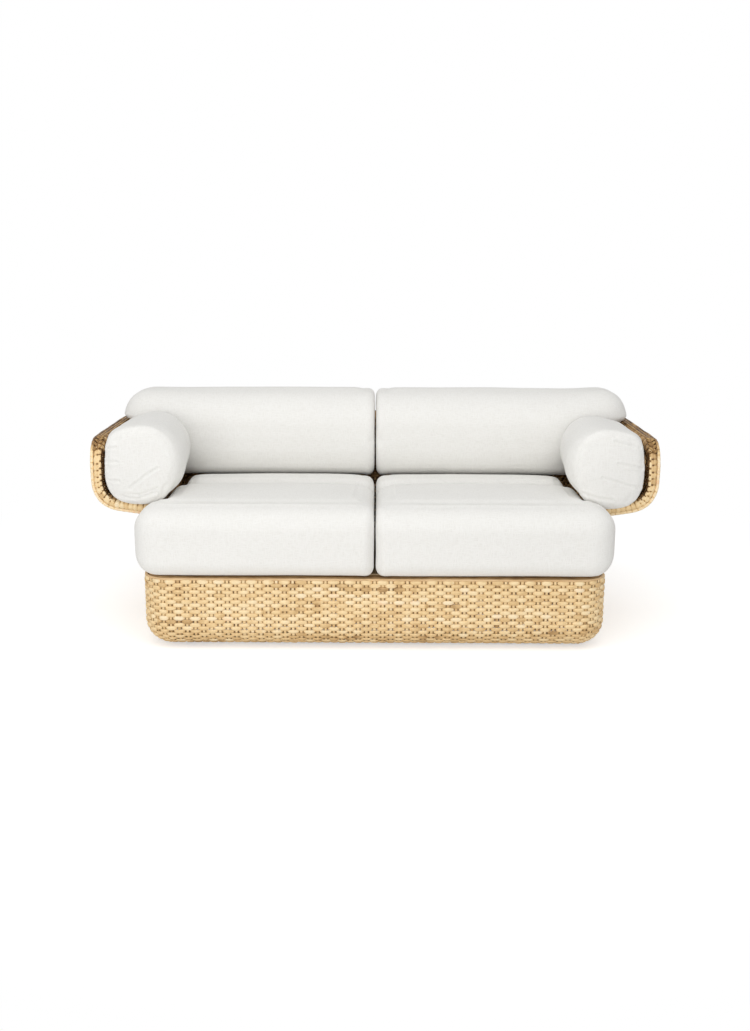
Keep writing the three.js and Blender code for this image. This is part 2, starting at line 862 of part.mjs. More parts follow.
function addDeck() {
  for (let k = 0; k < slatCount; k += 1) {
    add(`deck_slat_${k + 1}`, slat(), slatFinish, slatX(k));
  }
  const x = baseHalf - crossRailInset;
  const glideInset = frameDepth + baseRingRadius + fit + glideSetback;
  add('glide_front_right', glide(), glideFinish, x, glideInset);
  add('glide_front_left', glide(), glideFinish, -x, glideInset);
  add('glide_rear_right', glide(), glideFinish, x, baseBack - glideInset);
  add('glide_rear_left', glide(), glideFinish, -x, baseBack - glideInset);
}

function addSkins() {
  add('front_weave', frontWeave(), weaveFinish);
  add('front_rim_braid', frontBraid(), wrapFinish);
  addPair('side_weave', sideWeave(), weaveFinish);
  add('back_weave', backWeave(), weaveFinish);
  addPair('arm_lining', armLining(), weaveFinish);
  add('back_lining', backLining(), weaveFinish);
}

function addSlider(name, frame, start) {
  const mesh = add(name, zipSlider(), zipFinish);
  mesh.applyMatrix4(new THREE.Matrix4().makeTranslation(start, 0, 0).premultiply(frame));
}

function addSliders(name, frameOf, length) {
  addSlider(`${name}_right`, frameOf(1), zipStart(length));
  addSlider(`${name}_left`, frameOf(-1), -zipStart(length));
}

function addCushions() {
  addPair('seat_cover', padCover(seatPads, zipCut(seatZip(1), seatZipLength)), fabricFinish);
  addPair('seat_core', padCore(seatPads), coreFinish);
  addSliders('seat_zip_slider', seatZip, seatZipLength);
  addPair('back_roll_cover', padCover(backPads, zipCut(backZip(1), backZipLength)), fabricFinish);
  addPair('back_roll_core', padCore(backPads), coreFinish);
  addSliders('back_roll_zip_slider', backZip, backZipLength);
  addPair('bolster_cover', bolsterCover(zipCut(bolsterZip(1), bolsterZipLength)), fabricFinish);
  addPair('bolster_core', placedBolster(coverThickness + coreClearance, coreSteps), coreFinish);
  addSliders('bolster_zip_slider', bolsterZip, bolsterZipLength);
}

addFrame();
addPosts();
addDeck();
addSkins();
addCushions();

// The origin is the centre of the footprint, on the floor
sofa.position.y = rollOverhang - overallDepth / 2;

const basketSofa = new THREE.Group();
basketSofa.add(sofa);
export default basketSofa;
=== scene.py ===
import json
import math

import bpy
import numpy as np
from mathutils import Matrix, Vector, noise
from mathutils.bvhtree import BVHTree


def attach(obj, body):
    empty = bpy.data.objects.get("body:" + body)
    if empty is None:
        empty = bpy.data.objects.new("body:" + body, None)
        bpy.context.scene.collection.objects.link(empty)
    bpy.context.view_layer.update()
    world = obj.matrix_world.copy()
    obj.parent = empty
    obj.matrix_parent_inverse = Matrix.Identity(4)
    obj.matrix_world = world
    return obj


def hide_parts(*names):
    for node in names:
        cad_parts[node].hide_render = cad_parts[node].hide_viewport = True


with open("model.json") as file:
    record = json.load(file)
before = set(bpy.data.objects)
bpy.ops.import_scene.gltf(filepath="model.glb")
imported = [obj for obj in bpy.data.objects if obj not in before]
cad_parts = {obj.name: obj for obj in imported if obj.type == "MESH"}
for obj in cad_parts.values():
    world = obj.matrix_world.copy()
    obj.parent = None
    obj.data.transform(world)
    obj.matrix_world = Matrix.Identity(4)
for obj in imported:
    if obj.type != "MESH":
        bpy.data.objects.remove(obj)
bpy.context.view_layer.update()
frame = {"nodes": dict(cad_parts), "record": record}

scene = bpy.context.scene
rng = np.random.default_rng(7)

# Everything below is laid out in millimetres from the front wall's outer face,
# and goes to metres about the centre of the footprint when a mesh is made.
MM = 0.001
SHIFT_Y = -410.0

# The woven walls: half the base's width, its back, and how far arms and back flare out over it
BASE_HALF = 713.0
BASE_BACK = 668.0
FLARE = 172.0
WALL = 45.0
SKIN = 6.0
WRAP = WALL / 2
BOTTOM_RADIUS = 75.0
FLOOR_GAP = 5.0
# Seen from above, the corners' radius at the base, and what the flare adds to it
PLAN_RADIUS = 90.0
FLARE_RADIUS = 75.0
# The arms' front edges with their upper corners, and the rims
EDGE_Y = 167.5
EDGE_DROP = 5.0
SKIN_FRONT = 190.3
CORNER_START = 535.5
CORNER_RADIUS = 70.0
SKIN_TRIM = 15.9
RIM_Z = 605.5
RIM_JOIN_Y = 662.7
LOW_RIM = 232.0
BRAID_BOTTOM = 222.0
# The skins at the wall's outer and inner face: height of the neck, its radius, slope over it, scoop's radius
OUTER_FACE = np.array([346.0, 45.0, 17.0, 80.0])
INNER_FACE = np.array([409.0, 25.0, 0.0, 75.0])
# In the map for baking, each strand has a strip of its own, and all caps share one spot
UV_START, UV_REACH, UV_CAP = 0.001, 0.998, 0.0005
TUBE_BANDS = 12


def in_frame(points):
    """From the millimetres used here to the frame's metres."""
    out = np.array(points, float)
    out[:, 1] += SHIFT_Y
    return out * MM


def in_wall(co):
    """From the frame's metres back to the millimetres used here."""
    out = np.array(co, float) / MM
    out[:, 1] -= SHIFT_Y
    return out


def linked(name, data):
    obj = bpy.data.objects.new(name, data)
    scene.collection.objects.link(obj)
    return obj


def mesh_object(name, co, quads, tris=(), tone=None, along=None, bake_uv=None):
    """co is in metres; quads and tris are arrays of vertex numbers."""
    quads = np.asarray(quads, np.int32).reshape(-1, 4)
    tris = np.asarray(tris, np.int32).reshape(-1, 3)
    mesh = bpy.data.meshes.new(name)
    mesh.vertices.add(len(co))
    mesh.vertices.foreach_set("co", np.asarray(co, np.float32).ravel())
    loops = np.concatenate([quads.ravel(), tris.ravel()])
    starts = np.concatenate([np.arange(len(quads)) * 4, len(quads) * 4 + np.arange(len(tris)) * 3])
    mesh.loops.add(len(loops))
    mesh.loops.foreach_set("vertex_index", loops)
    mesh.polygons.add(len(starts))
    mesh.polygons.foreach_set("loop_start", starts.astype(np.int32))
    mesh.polygons.foreach_set("use_smooth", np.ones(len(starts), bool))
    mesh.update(calc_edges=True)
    if tone is not None:
        layer = mesh.attributes.new("tone", "FLOAT", "POINT")
        layer.data.foreach_set("value", np.asarray(tone, np.float32))
        layer = mesh.attributes.new("along", "FLOAT_VECTOR", "POINT")
        layer.data.foreach_set("vector", np.asarray(along, np.float32).ravel())
        layer = mesh.uv_layers.new(name="OFBake")
        layer.data.foreach_set("uv", np.asarray(bake_uv, np.float32).ravel())
    return linked(name, mesh)


def unit(v):
    return v / np.maximum(np.linalg.norm(v, axis=-1, keepdims=True), 1e-9)


def run_along(points):
    """How far along the points each of them lies."""
    steps = np.linalg.norm(np.diff(points, axis=0), axis=1)
    return np.concatenate([[0], np.cumsum(steps)])


def tube_faces(n, sides, loop=False):
    """Quads between n rings of points, and their corners' places along and around, from 0 to 1."""
    spans = n if loop else n - 1
    i, j = np.meshgrid(np.arange(spans), np.arange(sides), indexing="ij")
    near, far = i * sides, (i + 1) % n * sides
    beside = (j + 1) % sides
    quads = np.stack([near + j, near + beside, far + beside, far + j], -1)
    u = np.stack([i, i, i + 1, i + 1], -1) / spans
    v = np.stack([j, j + 1, j + 1, j], -1) / sides
    return quads.reshape(-1, 4), u, v


def cap_faces(n, sides):
    """Triangles that close the first and the last ring."""
    k = np.arange(1, sides - 1)
    first = np.stack([0 * k, k + 1, k], -1)
    last = np.stack([0 * k, k, k + 1], -1) + (n - 1) * sides
    return np.concatenate([first, last])


class Strands:
    """Closed strands of an oval section, gathered into one mesh."""

    def __init__(self):
        self.co, self.quads, self.tris = [], [], []
        self.tone, self.along, self.uv = [], [], []
        self.count = 0
        self.strip = 0

    def add(self, path, normal, width, thick, sides=6, tone=0.5, loop=False, square=1.0):
        """square under 1 makes the oval blunter."""
        path = np.asarray(path, float)
        n = len(path)
        if loop:
            tangent = unit(np.roll(path, -1, 0) - np.roll(path, 1, 0))
        else:
            tangent = unit(np.gradient(path, axis=0))
        side = unit(np.cross(normal, tangent))
        up = unit(np.cross(tangent, side))
        angle = 2 * math.pi * np.arange(sides) / sides
        c, s = [np.sign(f) * np.abs(f) ** square for f in (np.cos(angle), np.sin(angle))]
        w, t, tones = [np.broadcast_to(np.asarray(a, float), (n,)) for a in (width, thick, tone)]
        rings = path[:, None, :] + side[:, None, :] * (w / 2)[:, None, None] * c[None, :, None]
        rings = rings + up[:, None, :] * (t / 2)[:, None, None] * s[None, :, None]
        quads, u, v = tube_faces(n, sides, loop)
        self.quads.append(quads + self.count)
        if not loop:
            self.tris.append(cap_faces(n, sides) + self.count)
        self.co.append(rings.reshape(-1, 3))
        self.tone.append(np.repeat(tones, sides))
        run = run_along(path)
        around = np.tile(np.arange(sides) / sides, n)
        number = np.full(n * sides, float(self.strip))
        self.along.append(np.stack([np.repeat(run, sides), around, number], -1))
        reach = run[-1] + (np.linalg.norm(path[0] - path[-1]) if loop else 0)
        self.uv.append((u.reshape(-1), v.reshape(-1), self.strip, reach))
        self.count += n * sides
        self.strip += 1

    def build(self, name):
        tris = np.concatenate(self.tris) if self.tris else np.zeros((0, 3), int)
        longest = max(item[3] for item in self.uv)
        parts = []
        for u, v, strip, reach in self.uv:
            us = UV_START + UV_REACH * u * reach / longest
            vs = (strip + 0.06 + 0.88 * v) / self.strip
            parts.append(np.stack([us, vs], -1))
        parts.append(np.full((len(tris) * 3, 2), UV_CAP))
        co, quads, tone, along = [
            np.concatenate(a) for a in (self.co, self.quads, self.tone, self.along)
        ]
        return mesh_object(name, in_frame(co), quads, tris, tone, along, np.concatenate(parts))


def mix(a, b, s):
    return a + (b - a) * s


def smoothstep(low, high, value):
    t = np.clip((value - low) / (high - low), 0, 1)
    return t * t * (3 - 2 * t)


def bell(value, width):
    return np.exp(-((value / width) ** 2))


def arc(x, y, radius, start, end, steps=12):
    """Points round a middle, from one angle to another."""
    a = mix(start, end, np.arange(steps + 1) / steps)
    return np.stack([x + radius * np.cos(a), y + radius * np.sin(a)], -1)


def scoop_points(depth, drop=0.0):
    """The side view of an arm or the back, at a depth in the wall: out over the neck, then up the scoop."""
    flare_z, neck, slope, scoop = mix(OUTER_FACE, INNER_FACE, depth / WALL)
    slope = math.radians(slope)
    lower = arc(neck - depth, flare_z - drop, neck, math.pi, math.pi / 2 + slope)
    neck_out, neck_z = lower[-1]
    scoop_out = FLARE - depth - scoop
    under = scoop_out + scoop * math.sin(slope) - neck_out
    rise = under * math.tan(slope) + scoop * math.cos(slope)
    return np.concatenate([lower, arc(scoop_out, neck_z + rise, scoop, slope - math.pi / 2, 0)])


def bottom_points(depth):
    return arc(-BOTTOM_RADIUS, FLOOR_GAP + BOTTOM_RADIUS, BOTTOM_RADIUS - depth, -math.pi / 2, 0)


def upper_points(depth):
    points = arc(0, CORNER_START, CORNER_RADIUS - SKIN_TRIM, 0, math.pi / 2, 6)
    points[:, 0] = FLARE - depth
    return points


def skin_front_at(z):
    z = np.asarray(z, float)
    reach = CORNER_RADIUS - SKIN_TRIM
    inside = np.maximum(reach**2 - np.maximum(z - CORNER_START, 0) ** 2, 0)
    return np.where(z < CORNER_START, SKIN_FRONT, EDGE_Y + CORNER_RADIUS - np.sqrt(inside))


class Profile:
    """The side view of a skin between two depths of the wall, walked by its length."""

    def __init__(self, points, near, far):
        self.depth = (near + far) / 2
        self.points = points(self.depth)
        self.run = run_along(self.points)
        self.length = self.run[-1]

    def at(self, v):
        return [np.interp(v, self.run, self.points[:, k]) for k in range(2)]

    def length_at_height(self, z):
        return float(np.interp(z, self.points[:, 1], self.run))


# Stakes: each stands at one place of the plan, in order round the basket
SIDE_STEPS, CORNER_STEPS, BACK_STEPS, FRONT_SIDE_STEPS = 16, 6, 50, 4
U_STEPS = 2 * SIDE_STEPS + 2 * CORNER_STEPS + BACK_STEPS
FRONT_STEPS = 2 * FRONT_SIDE_STEPS + 2 * CORNER_STEPS + BACK_STEPS
U_KNOTS = np.cumsum([0, SIDE_STEPS, CORNER_STEPS, BACK_STEPS, CORNER_STEPS, SIDE_STEPS])
FRONT_KNOTS = np.cumsum([U_STEPS, FRONT_SIDE_STEPS, CORNER_STEPS, BACK_STEPS, CORNER_STEPS, FRONT_SIDE_STEPS])


def half_loop(place, knots, half, radius, begin, corner, end):
    """A straight side, then a corner, then half of the back or the front."""
    u = (place - knots[0]) / (knots[1] - knots[0])
    angle = np.clip((place - knots[1]) / CORNER_STEPS, 0, 1) * math.pi / 2
    parts = [place <= knots[1], place <= knots[2]]
    inwards = (half - radius) * (1 - (place - knots[2]) / (BACK_STEPS / 2))
    x = np.select(parts, [half, half - radius + radius * np.cos(angle)], inwards)
    y = np.select(parts, [begin + (corner - begin) * u, corner + (end - corner) * np.sin(angle)], end)
    return x, y


def plan(place, out, z, depth):
    """Where the stake number place (it may fall between two) meets the wall."""
    place, out, z = np.broadcast_arrays(np.asarray(place, float), out, z)
    face_out = out + depth
    growth = np.where(face_out > 0, FLARE_RADIUS / FLARE * face_out, face_out)
    radius = PLAN_RADIUS + growth - depth
    half, back = BASE_HALF + out, BASE_BACK + out
    last = U_KNOTS[5]
    on_left = place > last / 2
    turned = np.where(on_left, last - place, place)
    x, y = half_loop(turned, U_KNOTS, half, radius, skin_front_at(z), back - radius, back)
    first, final = FRONT_KNOTS[0], FRONT_KNOTS[5]
    on_right = place > (first + final) / 2
    turned = np.where(on_right, final - (place - first), place)
    front_x, front_y = half_loop(turned, FRONT_KNOTS, half, radius, SKIN_FRONT, PLAN_RADIUS, -out)
    on_front = place > last
    x = np.where(on_front, np.where(on_right, front_x, -front_x), np.where(on_left, -x, x))
    y = np.where(on_front, front_y, y)
    return np.stack([x, y, z.astype(float)], -1)


def wall_points(profile, place, v):
    """Points of the skin's middle surface and its unit normals towards the outer face."""
    place = np.asarray(place, float)
    v = np.broadcast_to(np.asarray(v, float), place.shape)

    def spot(at, height):
        out, z = profile.at(np.clip(height, 0, profile.length))
        return plan(at, out, z, profile.depth)

    upward = spot(place, v + 2.0) - spot(place, v - 2.0)
    onward = spot(place + 0.1, v) - spot(place - 0.1, v)
    return spot(place, v), unit(np.cross(onward, upward))


def wobble(count, size, smooth=5):
    raw = rng.normal(0, 1, count + 2 * smooth)
    kernel = np.ones(smooth) / smooth
    return size * np.convolve(raw, kernel, "same")[smooth:-smooth] * math.sqrt(smooth)


SPLICES = 60


def spliced_tone(place):
    """A row is made of lengths of cane laid end to end, each of its own shade."""
    ends = np.cumsum(rng.integers(4, 15, SPLICES)) + place[0]
    shades = np.clip(rng.normal(0.53, 0.09, SPLICES + 1), 0.3, 0.98)
    return shades[np.searchsorted(ends, place)]


# Where a row's sections stand between one stake and the next
FINE = (0.0, 0.24, 0.40, 0.50, 0.60, 0.76)
COARSE = (0.0, 0.34, 0.66)
# How blunt a row's waves are and how far they swing, its size, and what it runs on into the arm's edge
STEEPNESS, ROW_SWING = 1.9, 2.5
ROW_WIDTH, ROW_THICK, ROW_SQUARE = 10.4, 4.6, 0.85
ROW_END = np.array([0.0, 13.0, 0.0])
STAKE_WIDTH, STAKE_THICK, STAKE_SWING = 9.2, 3.0, 0.35
ROW_PITCH = 10.4


def weave_row(strands, profile, v, parity, steps, loop=False, within=FINE, sides=8, width=ROW_WIDTH, shade_drop=0.0):
    """A strand that passes outside one stake and inside the next, blunt where it dives."""
    place = (np.arange(steps)[:, None] + np.array(within)[None, :]).ravel()
    if not loop:
        place = np.append(place, steps)
    count = len(place)
    beat = np.cos(math.pi * place) * (1 if parity else -1)
    at_stake = (place + 0.5).astype(int)
    lift = rng.normal(1, 0.1, steps + 2)[at_stake]
    offset = ROW_SWING * np.tanh(STEEPNESS * beat) / math.tanh(STEEPNESS) * lift
    centre, normal = wall_points(profile, place, v + wobble(count, 0.3, 9))
    outward = -1 if profile is lining else 1
    centre = centre + normal * (offset * outward)[:, None]
    ahead = smoothstep(-0.5, 0.45, beat)
    plump = rng.normal(1, 0.05, steps + 2)[at_stake]
    wide = width * (0.92 + 0.42 * ahead) * mix(1.0, plump, ahead)
    own = rng.normal(0, 0.045, steps + 2)[at_stake]
    # Painted shade: a row's tone drops where it dives behind a stake, deeper in the lower rows, and low_shade
    # darkens the rows towards the bottom
    hollow = mix(-0.02, 0.04, smoothstep(60.0, 170.0, v)) + 0.5 * own
    low_shade = 0.13 * (1 - smoothstep(15.0, 125.0, v))
    # The lining's rows are painted darker here as the shade inside the walls
    tone = mix(hollow, spliced_tone(place) + own - shade_drop - low_shade, smoothstep(-0.6, -0.24, beat))
    tone = np.clip(tone + wobble(count, 0.03, 7), 0, 1)
    if not loop:
        centre = np.concatenate([[centre[0] - ROW_END], centre, [centre[-1] - ROW_END]])
        normal, wide, tone = [np.concatenate([a[:1], a, a[-1:]]) for a in (normal, wide, tone)]
    strands.add(centre, normal, wide, ROW_THICK, sides, tone, loop, ROW_SQUARE)


def stake(strands, profile, place, v_to, parity, step=8.0, shade_drop=0.0):
    """An upright strand that leans away from each row that passes it."""
    count = max(int(v_to / step), 2) + 1
    v = np.linspace(0.5, v_to, count)
    centre, normal = wall_points(profile, np.full(count, float(place)), v)
    outward = -1 if profile is lining else 1
    beat = np.cos(math.pi * v / ROW_PITCH) * (1 if parity else -1)
    centre = centre - normal * (STAKE_SWING * beat * outward)[:, None]
    # The lining's stakes are painted darker as the shade inside the walls
    tone = np.clip(rng.normal(0.5, 0.1) - shade_drop + wobble(count, 0.05, 5), 0, 1)
    strands.add(centre, normal, STAKE_WIDTH * (1 + rng.normal(0, 0.05)), STAKE_THICK, 6, tone)


def outer_profile(depth):
    return np.concatenate([bottom_points(depth), scoop_points(depth), upper_points(depth)])


def lining_profile(depth):
    return np.concatenate([[(-depth, LOW_RIM + 4)], scoop_points(depth), upper_points(depth)])


# Rows begin above the base's lower edge and end below the rims
ROWS_FROM, ROWS_TO = 2.0, 6.0
skin = Profile(outer_profile, 0.0, SKIN)
lining = Profile(lining_profile, WALL - SKIN, WALL)
low_length = skin.length_at_height(BRAID_BOTTOM)
low_rows = int((low_length - ROWS_FROM) / ROW_PITCH)
row_pitch = (low_length - ROWS_FROM) / low_rows
all_rows = int((skin.length - ROWS_TO) / row_pitch)


def woven_band(name, first, last, loop):
    """Rows that wind in front of one stake and behind the next, round the base or round arms and back."""
    band = Strands()
    for k in range(first, last):
        steps = U_STEPS + FRONT_STEPS if loop else U_STEPS
        weave_row(band, skin, ROWS_FROM + (k + 0.5) * row_pitch, k % 2, steps, loop)
    return band.build(name)


half_low = low_rows // 2
half_high = (low_rows + all_rows) // 2
base_pieces = [
    woven_band("base_weave_lower", 0, half_low, True),
    woven_band("base_weave_upper", half_low, low_rows, True),
]
high_pieces = [
    woven_band("shell_weave_lower", low_rows, half_high, False),
    woven_band("shell_weave_upper", half_high, all_rows, False),
]

stakes = Strands()
for place in range(U_STEPS + 1):
    stake(stakes, skin, place, skin.length - 1.0, place % 2)
for place in range(U_STEPS + 1, U_STEPS + FRONT_STEPS):
    stake(stakes, skin, place, low_length, place % 2)
stake_piece = stakes.build("weave_stakes")

# The lining is of wider cane, painted darker as the shade inside the walls
LINING_FROM, LINING_TO = 4.0, 2.0
LINING_PITCH, LINING_WIDTH, LINING_SHADE = 11.2, 11.6, 0.46
lining_rows = Strands()
count = int((lining.length - LINING_FROM) / LINING_PITCH)
for k in range(count):
    v = LINING_FROM + (k + 0.5) * (lining.length - LINING_FROM - LINING_TO) / count
    weave_row(lining_rows, lining, v, k % 2, U_STEPS, False, COARSE, 6, LINING_WIDTH, LINING_SHADE)
for place in range(U_STEPS + 1):
    stake(lining_rows, lining, place, lining.length - 1.0, place % 2, 12.0, LINING_SHADE)
lining_piece = lining_rows.build("inner_weave")


def arm_edge_points():
    """The middle line of the wound pole that runs up an arm's front edge."""
    points = [(BASE_HALF - WRAP, EDGE_Y, LOW_RIM + 0.3)]
    points += [(BASE_HALF + out, EDGE_Y, z) for out, z in scoop_points(WRAP, EDGE_DROP)]
    corner = arc(EDGE_Y + CORNER_RADIUS, CORNER_START, CORNER_RADIUS, math.pi, math.pi / 2)
    return points + [(BASE_HALF + FLARE - WRAP, y, z) for y, z in corner]


def rim_points():
    """The rim's corner at the back."""
    radius = PLAN_RADIUS + FLARE_RADIUS - WRAP
    inset = FLARE - WRAP - radius
    corner = arc(BASE_HALF + inset, BASE_BACK + inset, radius, 0, math.pi / 2)
    return [(x, y, RIM_Z) for x, y in corner]


def resample(points, step):
    """Points at even steps, with the corners between them rounded a little."""
    points = np.asarray(points, float)
    keep = np.concatenate([[True], np.linalg.norm(np.diff(points, axis=0), axis=1) > 1e-6])
    points = points[keep]
    run = run_along(points)
    s = np.linspace(0, run[-1], int(run[-1] / step) + 1)
    path = np.stack([np.interp(s, run, points[:, i]) for i in range(3)], -1)
    for _ in range(3):
        path[1:-1] = 0.25 * path[:-2] + 0.5 * path[1:-1] + 0.25 * path[2:]
    return path, s


right_edge = arm_edge_points() + rim_points()
left_edge = [(-x, y, z) for x, y, z in right_edge][::-1]
edge_path, edge_run = resample(right_edge + left_edge, 2.0)
edge_tangent = unit(np.gradient(edge_path, axis=0))


def transported(tangent, start):
    """The start's direction carried along the path without turning about it."""
    front = np.zeros_like(tangent)
    front[0] = start
    for i in range(1, len(tangent)):
        v = front[i - 1] - tangent[i] * np.dot(front[i - 1], tangent[i])
        front[i] = v / np.linalg.norm(v)
    return front


edge_front = transported(edge_tangent, np.array([0.0, -1.0, 0.0]))
edge_out = unit(np.cross(edge_tangent, edge_front))
# How far it is to an arm's upper corner and to the plait, and the point where the rim's back piece begins
PLAIT_AFTER = 46.0
total_run = edge_run[-1]
quarter = len(edge_path) // 4
arm_run = float(np.interp(CORNER_START, edge_path[:quarter, 2], edge_run[:quarter]))
knot_run = arm_run + PLAIT_AFTER
join = int(np.argmax(edge_path[:, 1] > RIM_JOIN_Y))


def edge_distance(s):
    return np.minimum(s, total_run - s)


def tube_mesh(name, index, rings, tone, phase):
    """A closed tube from rings of points, with its map laid out in bands."""
    n, sides = rings.shape[:2]
    quads, u, v = tube_faces(n, sides)
    tris = cap_faces(n, sides)
    band = np.minimum(np.floor(u[..., :1] * TUBE_BANDS + 1e-6), TUBE_BANDS - 1)
    us = UV_START + UV_REACH * np.clip(u * TUBE_BANDS - band, 0, 1)
    vs = (band + 0.03 + 0.94 * v) / TUBE_BANDS
    uv = np.stack([us, vs], -1).reshape(-1, 2)
    around = np.tile(np.arange(sides) / sides, n)
    along = np.stack([np.repeat(edge_run[index], sides), around, np.floor(phase.reshape(-1))], -1)
    uv = np.concatenate([uv, np.full((len(tris) * 3, 2), UV_CAP)])
    return mesh_object(name, in_frame(rings.reshape(-1, 3)), quads, tris, tone.reshape(-1), along, uv)


# How far one turn of the winding lies from the next, and the turns' own tones and sizes
CURVE_PITCH, STRAIGHT_PITCH = 15.0, 18.7
TURNS = 700
wrap_tones = np.clip(rng.normal(0.6, 0.1, TURNS), 0, 1)
wrap_sizes = rng.normal(0, 0.35, TURNS)


def up_the_arm(s):
    """0 along the arm's lower curve, 1 on its straight part and the rim."""
    return smoothstep(arm_run - 150.0, arm_run - 90.0, edge_distance(s))


wrap_pitch = mix(CURVE_PITCH, STRAIGHT_PITCH, up_the_arm(edge_run))
wrap_turns = np.concatenate([[0], np.cumsum(np.diff(edge_run) / wrap_pitch[1:])])


def wrapped_edge(name, lo, hi, sides=44):
    """A pole wound with cane: the turns part at the arm's inner side and along a lane in front."""
    index = np.arange(lo, hi)
    s = edge_run[index]
    theta = 2 * math.pi * np.arange(sides) / sides
    phase = wrap_turns[index][:, None] + 0.35 * theta[None, :] / (2 * math.pi)
    phase = phase + 0.12 * np.sin(phase * 0.9) + 0.06 * np.sin(phase * 2.7 + theta[None, :])
    bulge = np.abs(np.sin(math.pi * phase)) ** 0.6
    number = np.floor(phase).astype(int) % TURNS
    on_rim = np.clip((edge_distance(s) - knot_run) / 40.0, 0, 1)[:, None]
    on_straight = up_the_arm(s)[:, None]
    across = mix(15.8, 17.5, on_rim)
    deep = mix(20.0, 18.5, on_rim)
    shift = mix(mix(-4.6, -2.0, on_straight), 0.0, on_rim)
    c, t = np.cos(theta)[None, :], np.sin(theta)[None, :]
    inner = mix(smoothstep(5.0, -13.0, across * c), 0.6, on_rim)
    lane = bell(across * c - 1.0, 2.4) * (t > 0) * (1 - on_rim) * on_straight
    gap_shade = 1 - smoothstep(0.25, 0.72, bulge)
    grow = (bulge - 1.0) * mix(2.6, 5.2, inner) + wrap_sizes[number] * (bulge**2) - 1.6 * lane
    o = shift + (across + grow) * c
    f = (deep + grow) * t
    rings = edge_path[index][:, None, :] + edge_out[index][:, None, :] * o[..., None]
    rings = rings + edge_front[index][:, None, :] * f[..., None]
    # Painted shade: darker in the gaps between turns, most at the inner side and along the lane in front, and
    # near black on the inner flank beside the bolster and on the rim's turns under the plait
    flank_shade = smoothstep(-7.5, -12.5, across * c) * on_straight * (1 - on_rim)
    tone = wrap_tones[number] - gap_shade * (0.16 + 0.4 * inner + 0.5 * lane) - 0.1 * lane
    tone = mix(tone, 0.0, np.maximum(0.96 * flank_shade, 0.62 * on_rim))
    tone = np.clip(tone, 0, 1)
    if np.dot(np.cross(edge_out[index[0]], edge_front[index[0]]), edge_tangent[index[0]]) < 0:
        rings, tone, phase = rings[:, ::-1], tone[:, ::-1], phase[:, ::-1]
    return tube_mesh(name, index, rings, tone, phase)


count = len(edge_path)
wrap_right = wrapped_edge("arm_edge_binding_right", 0, join + 1)
wrap_back = wrapped_edge("back_rim_binding", join, count - join)
wrap_left = wrapped_edge("arm_edge_binding_left", count - join - 1, count)


def along_edge(o, f, lo, hi, skip=1):
    index = np.arange(lo, hi, skip)
    o = np.broadcast_to(o, edge_run.shape)[index]
    f = np.broadcast_to(f, edge_run.shape)[index]
    path = edge_path[index] + edge_out[index] * o[:, None] + edge_front[index] * f[:, None]
    return path, edge_out[index]


def cell_column(strands, from_run, to_run):
    """A second column of cells beside the wound pole, where an arm stands straight."""
    lo, hi = np.searchsorted(edge_run, (from_run, to_run))
    path, normal = along_edge(-9.4, 15.2, lo, hi)
    cell = np.abs(np.sin(math.pi * (wrap_turns[lo:hi] + 0.4)))
    end = smoothstep(0, 30.0, np.minimum(edge_run[lo:hi] - from_run, to_run - edge_run[lo:hi]))
    full = (0.62 + 0.42 * cell**0.5) * (0.55 + 0.45 * end)
    # Painted shade: darker between one cell and the next
    tone = np.clip(0.6 - 0.55 * (1 - smoothstep(0.2, 0.65, cell)) + wobble(len(path), 0.05, 9), 0, 1)
    strands.add(path, normal, 9.6 * full, 9.0 * full, 8, tone)


# Each cord: its place on the arm outwards and forwards, the same on the rim, width and thickness
CORDS = (
    (12.6, 8.0, 18.6, 15.5, 11.5, 10.5),
    (11.6, -3.0, 16.0, 2.0, 12.0, 11.0),
    (14.0, -12.0, 18.4, -9.5, 9.0, 12.0),
)


def edge_cords(name, lo, hi, cells=None):
    """The cords at the outer side of an arm's edge, or below the rim."""
    cords = Strands()
    index = np.arange(lo, hi, 2)
    fade = np.clip((edge_distance(edge_run) - knot_run + 20.0) / 60.0, 0, 1)
    gentle = 0.6 * np.sin(edge_run / 31.0)
    straight = up_the_arm(edge_run)
    for o, f, rim_o, rim_f, w, t in CORDS:
        out = mix(o + 4.6 * straight, rim_o, fade) + gentle
        ahead = mix(f, rim_f, fade) + 0.5 * np.sin(edge_run / 23.0 + o)
        path, normal = along_edge(out, ahead, lo, hi, 2)
        # Painted shade: darker in the notches between knuckles, and near black where the cords run on below
        # the rim
        knuckle = np.abs(np.sin(math.pi * edge_run[index] / 17.0 + o))
        notch_shade = 0.5 * (1 - smoothstep(0.05, 0.5, knuckle))
        tone = mix(0.86 - notch_shade, 0.06, fade[index]) + wobble(len(path), 0.07, 15)
        wide, thick = w * (0.86 + 0.16 * knuckle), t * (0.88 + 0.14 * knuckle)
        cords.add(path, normal, wide, thick, 8, np.clip(tone, 0, 1))
    if cells:
        cell_column(cords, *cells)
    return cords.build(name)


CELLS_START, CELLS_END = arm_run - 125.0, knot_run - 8.0
left_cells = (total_run - CELLS_END, total_run - CELLS_START)
cord_pieces = [
    edge_cords("arm_edge_cords_right", 0, join + 1, (CELLS_START, CELLS_END)),
    edge_cords("back_rim_cords", join, count - join),
    edge_cords("arm_edge_cords_left", count - join - 1, count, left_cells),
]

# Each rim strand's tone, and where it lies once the plait has opened out: outwards and how wide
# The middle strand's near black tone is painted shade between the other two
PLAIT = ((0.42, -2.0, 7.6), (0.06, 5.6, 5.6), (0.46, 11.6, 4.8))
PLAIT_TURN = 44.0


